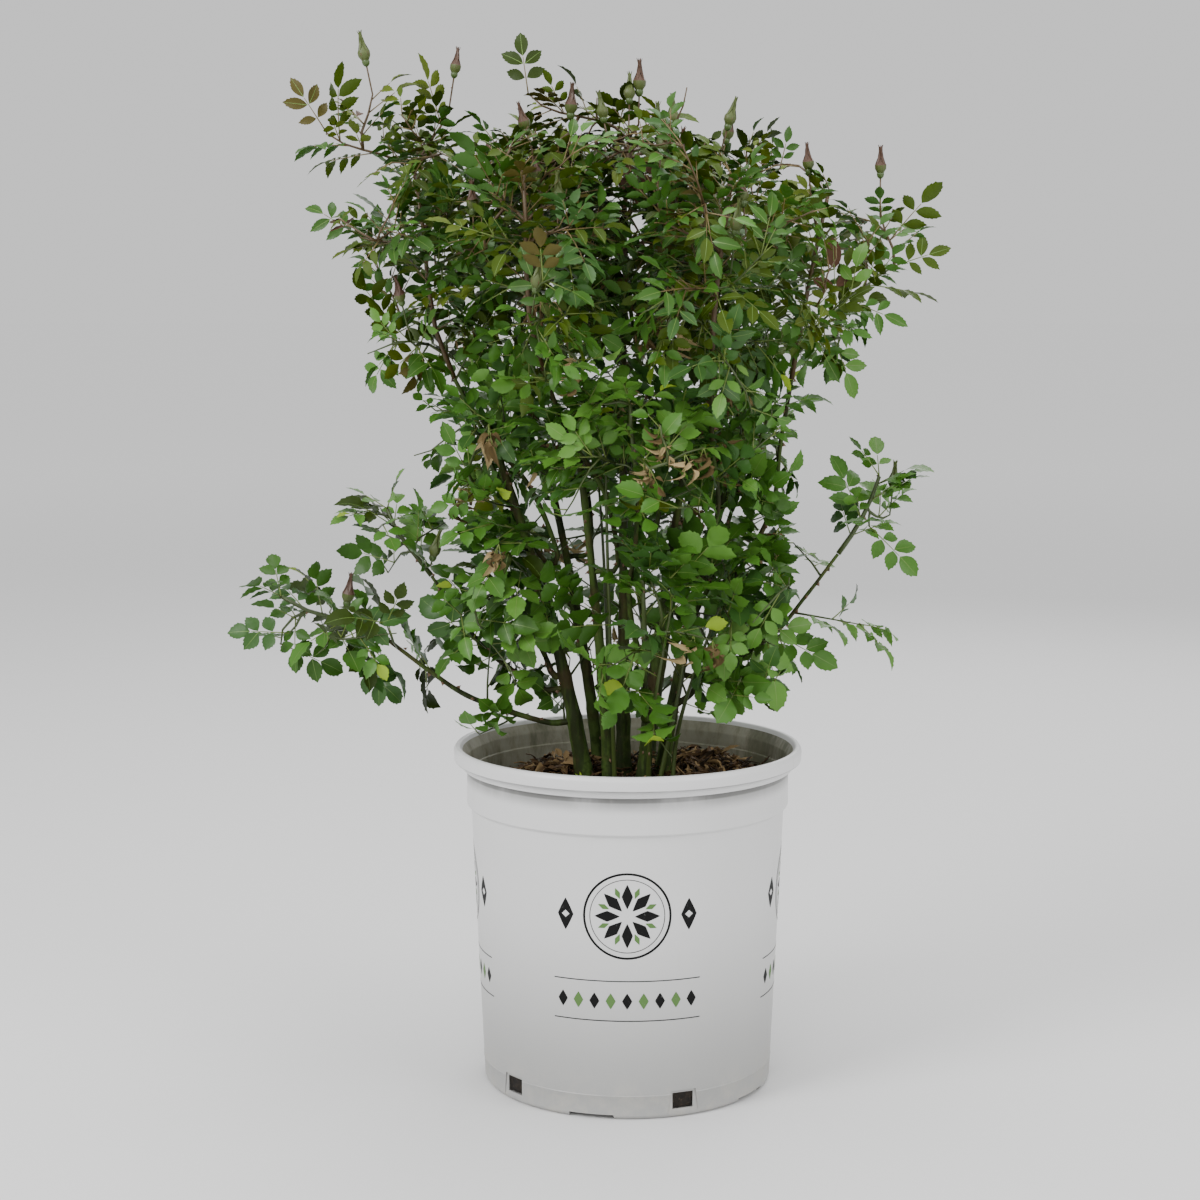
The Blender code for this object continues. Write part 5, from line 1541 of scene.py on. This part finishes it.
def addSpray(stalk, rows, place, spray, dry, sprays, rule):
    # one leaf with its tone; on some the end leaflet is yellow
    tone = leafTone(place, spray, rule)
    if dry:
        tone = rule.choice(bush["dryTones"])
        rows[:, 12:14] *= rule.uniform(*bush["dryShrink"])
        curl(rows, rule)
    elif len(rows) > 1 and place.z < deal["yellowBelow"] and rule.random() < deal["yellowing"]:
        rows[-1, 12:14] *= deal["yellowSize"]
        sprays.append(("limeYellow", None, rows[-1:]))
        rows = rows[:-1]
    sprays.append((tone, stalk, rows))


def leavesOn(twig, mass, crowd, sprays):
    # leaves along a twig, every gap on its own side, and what its end carries
    rule, path, kind = mass["rule"], twig["path"], twig["kind"]
    heads = headings(path)
    lengths = [0.0]
    for a, b in zip(path, path[1:]):
        lengths.append(lengths[-1] + (b - a).length)
    hold = leaf["hold"].get(kind, "reach")
    last = lengths[-1] - (twig["bare"] + bud["leafFree"] if kind in budKinds else leaf["endFree"])
    run = lengths[-1] * leaf["stemBare"] if kind == "stem" else leaf["firstAt"]
    angle = rule.uniform(0, math.tau)
    spray = toneFor(path[-1], rule)
    spray = "freshGreen" if spray == "limeYellow" else spray
    dry = kind == "fine" and outlineAt(path[-1]) < bush["dryWithin"] and path[-1].z < crown["dryBelow"] \
        and rule.random() < crown["dryShare"]
    while run < last:
        k = min(len(path) - 2, int(np.searchsorted(lengths, run)) - 1)
        place = path[k].lerp(path[k + 1], (run - lengths[k]) / (lengths[k + 1] - lengths[k]))
        for n in range(2 if rule.random() < bush["pairShare"] else 1):
            made = addLeafAt(mass, place, heads[k], angle + n * bush["pairTurn"], crowd, rule, hold,
                             1 - bush["pairSmaller"] * n)
            if made:
                addSpray(*made, place, spray, dry, sprays, rule)
        angle += golden
        gap = mixBetween(leaf["gapLower"], leaf["gapUpper"], heightShare(place.z))
        run += gap * rule.uniform(*leaf["gapSpread"])
    if kind == "dry":
        addTuft(twig, mass, sprays)
    elif kind == "leaf":
        addTipLeaf(twig, spray, sprays, rule)
    elif kind not in budKinds:
        for n in range(2):
            made = addLeafAt(mass, path[-1], heads[-1], angle + n * bush["endTurn"], crowd, rule, hold,
                             bush["endSize"])
            if made:
                sprays.append((spray, *made))


def growBark(canes, masses, prickles, rule):
    canePaint = barkPaint("caneBark", bark["olive"], bark["green"], bark["brown"])
    boughPaint = barkPaint("boughBark", bark["green"], bark["olive"], bark["brown"])
    for name, cane in canes.items():
        slim = slimmed(cane["path"], cane["radii"])
        shape = barkShape(cane["path"], slim, bark["sides"], up, rule)
        addPiece("barkCane_" + name, meshFrom("barkCane_" + name, *shape), canePaint, "cane_bark",
                 "cane_" + name)
        addPrickles(prickles, cane["path"], slim, bark["prickleGap"], rule)
    for name, mass in masses.items():
        bough = mass["bough"]
        thin = bark["looseSlim"] if name in crown["loose"] else 1.0
        slim = slimmed(bough["path"], [r * thin for r in bough["radii"]])
        shape = barkShape([bough["root"]] + bough["path"], [slim[0] * bark["rootSlim"]] + slim,
                          bark["boughSides"], None, rule)
        addPiece("barkBough_" + name, meshFrom("barkBough_" + name, *shape), boughPaint, "bough_bark",
                 "bough_" + name)
        addPrickles(prickles, bough["path"], bough["radii"], bark["prickleGap"] * bark["boughGap"], rule,
                    bark["prickleFrom"][1])


def growCrown(canes, masses, limbs, rule):
    for mass in masses.values():
        tip = mass["bough"]["path"][-1]
        samples = np.vstack([one["samples"] for one in limbs if one is not mass["bough"]]
                            + [beyond(mass["bough"]["samples"], tip, bush["tipFree"])])
        away = np.linalg.norm(samples[:, :3] - np.array(mass["heart"]), axis=1)
        mass["limbs"] = samples[away < bush["near"]]
        growWood(mass)
    for cane in canes.values():
        growSideShoots(cane, masses, rule, crown["sideFrom"])
    for name, mass in masses.items():
        growSideShoots(mass["bough"], masses, rule, 0.0, "loose" if name in crown["loose"] else "side")
    growSoilShoots(masses, limbs, rule)


def dressTwig(twig, mass, crowd, heaps, sprays):
    rule, kind, path, radii = mass["rule"], twig["kind"], twig["path"], twig["radii"]
    height = path[-1].z + rule.uniform(-bush["redBlur"], bush["redBlur"])
    colour = "Red" if height > bush["redAbove"] else "Green"
    foot = headings(mass["bough"]["path"])[-1] if kind == "stem" else None
    heaps["twig" + colour].add(*tube(path, radii, bush["twigSides"], foot))
    if kind == "stem" or (radii[0] > bark["twigPrickly"] and rule.random() < 0.5):
        addPrickles(heaps["prickle"], path, radii, bark["prickleGap"] * bark["twigGap"], rule,
                    bark["prickleFrom"][1])
    if kind in budKinds:
        heading = headings(path)[-1]
        addBud(path[-1] - heading * bud["sunk"], heading, rule.uniform(*bud["scale"]), heaps, rule)
    first = len(sprays)
    leavesOn(twig, mass, crowd, sprays)
    for _, stalk, _ in sprays[first:]:
        if stalk:
            ends = [leaf["stalkRadius"] * share for share in leaf["stalkTaper"]]
            heaps["stalk" + colour].add(*tube(stalk, shrink(*ends, len(stalk)), bush["stalkSides"]))


def growBush():
    masses, canes = setOutMasses(), growCanes()
    limbs = growBoughs(canes, masses)
    rule = random.Random(crown["seed"])
    heaps = {kind: Heap() for kind in bush["pieces"]}
    growBark(canes, masses, heaps["prickle"], rule)
    growCrown(canes, masses, limbs, rule)
    kinds = [twig["kind"] for mass in masses.values() for twig in mass["twigs"]]
    print("wood:", len(kinds), "twigs,", sum(kind in budKinds for kind in kinds), "with a bud")
    crowd, sprays = Crowd(leaf["crowd"] * leaf["crowdSize"]), []
    for mass in masses.values():
        for twig in mass["twigs"]:
            dressTwig(twig, mass, crowd, heaps, sprays)
    print("leaves:", len(sprays), "with", sum(len(rows) for _, _, rows in sprays), "leaflets")
    for tone in tones:
        rows = [leaflets for name, _, leaflets in sprays if name == tone]
        if rows:
            addPiece("leaves_" + tone, leafletMesh("leaves_" + tone, rows), leafPaint(tone), "foliage")
    addPiece("leafRibs", ribMesh("leafRibs", [leaflets for _, _, leaflets in sprays]),
             Paint("leafRib", bush["rib"], 0.45), "foliage")
    for kind, (name, colour, roughness) in bush["pieces"].items():
        slotName = "cane_bark" if kind == "prickle" else "foliage"
        nodes = ["foliage_" + mass for mass in masses] if kind.startswith("twig") else []
        heaps[kind].piece(name, Paint(kind, colour, roughness), slotName, *nodes)


# Litter on the soil: chips all over, shreds and fallen leaves mostly on its heaps

litter = {
    "seed": 11, "chips": 500, "chipEdge": 0.008, "chipSize": (0.003, 0.009), "chipRatio": (0.25, 0.8),
    "chipTilt": 0.55, "chipRise": (0.0002, 0.0022), "chipRagged": (0.7, 1.1), "chipHalf": 0.0006,
    "chipSides": 6, "dryChips": 0.38,
    "shreds": 900, "shredEdge": 0.004, "shredLength": (0.009, 0.026), "shredWidth": (0.0013, 0.0038),
    "shredTilt": 0.65, "shredRise": (0.0005, 0.0060), "shredBend": (-0.5, 0.9), "shredHalf": 0.0003,
    "shredRungs": 4, "shredTones": ("litterDry", "litterBrown", "litterBrown", "litterDark"),
    "heapShare": 0.7, "barePast": -0.062, "bareShare": 0.75,
    "fallen": {"litterDry": 60, "litterBrown": 40, "limeYellow": 8}, "fallenEdge": 0.016, "fallenTilt": 0.6,
    "fallenSize": (0.008, 0.017), "fallenRise": (0.003, 0.010), "fallenWidth": (0.35, 0.6),
    "fallenFold": (0.3, 1.2), "fallenArch": (-0.3, 0.9),
}


def onHeap(rule):
    a, b, wide, _ = rule.choice(soil["heaps"])
    spread = wide * soil["heapSpread"]
    return a + spread * rule.gauss(0, 1), b + spread * rule.gauss(0, 1)


def anySpot(edge, rule):
    # a place on the soil, evenly dealt
    r, angle = edge * math.sqrt(rule.random()), rule.uniform(0, math.tau)
    return r * math.cos(angle), r * math.sin(angle)


def addShreds(heaps, rule):
    # bent slivers of bark, few of them on the left
    s = litter
    edge = soilRadius(soil["top"]) - s["shredEdge"]
    for _ in range(s["shreds"]):
        spot = anySpot(edge, rule)
        x, y = onHeap(rule) if rule.random() < s["heapShare"] else spot
        long, wide = rule.uniform(*s["shredLength"]), rule.uniform(*s["shredWidth"])
        if math.hypot(x, y) > edge - long / 2 or (x < s["barePast"] and rule.random() < s["bareShare"]):
            continue
        lift = (up + anyWay(rule) * s["shredTilt"]).normalized()
        way = across(lift, anyWay(rule))
        beside = lift.cross(way)
        centre = Vector((x, y, soilHeight(x, y) + rule.uniform(*s["shredRise"])))
        bend = rule.uniform(*s["shredBend"]) * long
        points = []
        for n in range(s["shredRungs"] + 1):
            t = n / s["shredRungs"] - 0.5
            half = wide / 2 * (1 - 0.7 * abs(2 * t) ** 3)
            middle = centre + way * long * t + lift * bend * (0.12 - t * t)
            points += [middle + beside * half * a + lift * s["shredHalf"] * b
                       for a, b in ((-1, 1), (1, 1), (1, -1), (-1, -1))]
        heaps[rule.choice(s["shredTones"])].add(points, closedSleeve(s["shredRungs"] + 1, 4))


def makeLitter():
    s, sides = litter, litter["chipSides"]
    rule = random.Random(s["seed"])
    heaps = {name: Heap() for name in ("litterDry", "litterBrown", "litterDark")}
    edge = soilRadius(soil["top"]) - s["chipEdge"]
    faces = [tuple(range(sides)), tuple(reversed(range(sides, 2 * sides)))]
    faces += [(n, sides + n, sides + (n + 1) % sides, (n + 1) % sides) for n in range(sides)]
    for _ in range(s["chips"]):
        x, y = anySpot(edge, rule)
        size = rule.uniform(*s["chipSize"])
        normal = (up + anyWay(rule) * s["chipTilt"]).normalized()
        side = across(normal, anyWay(rule))
        other = normal.cross(side)
        centre = Vector((x, y, soilHeight(x, y) + rule.uniform(*s["chipRise"])))
        ratio = rule.uniform(*s["chipRatio"])
        rim = [centre + side * math.cos(a) * size * rule.uniform(*s["chipRagged"]) / 2
               + other * math.sin(a) * size * ratio * rule.uniform(*s["chipRagged"]) / 2
               for a in turns(sides)]
        points = [p + normal * s["chipHalf"] for p in rim] + [p - normal * s["chipHalf"] for p in rim]
        heaps["litterDry" if rule.random() < s["dryChips"] else "litterBrown"].add(points, faces)
    addShreds(heaps, rule)
    for name, heap in heaps.items():
        heap.piece("chips_" + name, leafPaint(name), "potting_mix", smooth=False)


def makeFallenLeaves():
    s = litter
    rule = random.Random(s["seed"] + 1)
    edge = soilRadius(soil["top"]) - s["fallenEdge"]
    for tone, count in s["fallen"].items():
        rows = []
        while len(rows) < count:
            x, y = onHeap(rule)
            if math.hypot(x, y) > edge:
                continue
            normal = (up + anyWay(rule) * s["fallenTilt"]).normalized()
            out = across(normal, anyWay(rule))
            long = rule.uniform(*s["fallenSize"])
            place = (x, y, soilHeight(x, y) + rule.uniform(*s["fallenRise"]))
            wide = long * rule.uniform(*s["fallenWidth"])
            rows.append((*place, *out, *normal.cross(out), *normal, long, wide,
                         rule.uniform(*s["fallenFold"]), rule.uniform(*s["fallenArch"])))
        mesh = leafletMesh("fallen_" + tone, [np.array(rows)])
        addPiece("fallen_" + tone, mesh, leafPaint(tone), "potting_mix")
    print("litter:", s["chips"], "chips and", sum(s["fallen"].values()), "fallen leaves")


# Studio

studio = {
    "sensor": 36, "pictureWidth": 1200, "focalPixels": 2337, "asidePixels": 28,
    "distance": 1.7262, "eyeHeight": 0.5843, "pitch": 7.3,
    "floor": (0.72, 0.72, 0.72), "farFloor": (0.99, 0.99, 0.99), "paling": (0.8, 7.0), "floorReach": 60,
    "world": 0.85, "aimHeight": 0.4,
    "lights": {
        "key": ((-1.9, -1.6, 2.0), 1.3, 65), "fill": ((1.9, -1.5, 1.3), 1.6, 27),
        "front": ((-0.3, -2.6, 1.6), 1.8, 18),
        "top": ((0.1, 0.1, 2.4), 1.4, 24), "back": ((0.6, 2.0, 1.6), 1.4, 14),
    },
}


def makeStudio():
    # paler far out, so that the floor meets the sky without a line
    paint = Paint("paleFloor", studio["floor"], 0.9, Specular_IOR_Level=0.0)
    away = paint.node("VectorMath", {"operation": "LENGTH"}, {0: paint.place()}, out="Value")
    paint.colour(paint.blend(away.between(*studio["paling"]), studio["floor"], studio["farFloor"]))
    edge = studio["floorReach"]
    points = [(-edge, -edge, 0), (edge, -edge, 0), (edge, edge, 0), (-edge, edge, 0)]
    floor = bpy.data.objects.new("floor", meshFrom("floor", points, [(0, 1, 2, 3)], smooth=False))
    floor.data.materials.append(paint.material)
    bpy.context.scene.collection.objects.link(floor)
    world = bpy.data.worlds.new("softRoom")
    world.use_nodes = True
    world.node_tree.nodes["Background"].inputs["Color"].default_value = (1, 1, 1, 1)
    world.node_tree.nodes["Background"].inputs["Strength"].default_value = studio["world"]
    bpy.context.scene.world = world
    for name, (place, size, power) in studio["lights"].items():
        light = bpy.data.lights.new(name, "AREA")
        light.shape, light.size, light.energy = "DISK", size, power
        thing = bpy.data.objects.new(name, light)
        thing.location = place
        aim = Vector((0, 0, studio["aimHeight"])) - Vector(place)
        thing.rotation_euler = aim.to_track_quat("-Z", "Y").to_euler()
        bpy.context.scene.collection.objects.link(thing)
    camera = bpy.data.cameras.new("camera")
    camera.lens = studio["sensor"] * studio["focalPixels"] / studio["pictureWidth"]
    camera.sensor_width = studio["sensor"]
    thing = bpy.data.objects.new("camera", camera)
    thing.location = (0, -studio["distance"], studio["eyeHeight"])
    turn = math.atan(studio["asidePixels"] / studio["focalPixels"])
    thing.rotation_euler = (math.radians(90 - studio["pitch"]), 0, turn)
    bpy.context.scene.collection.objects.link(thing)
    bpy.context.scene.camera = thing


makeStudio()
makePot()
makePrint()
makeSoil()
makeLitter()
makeFallenLeaves()
growBush()
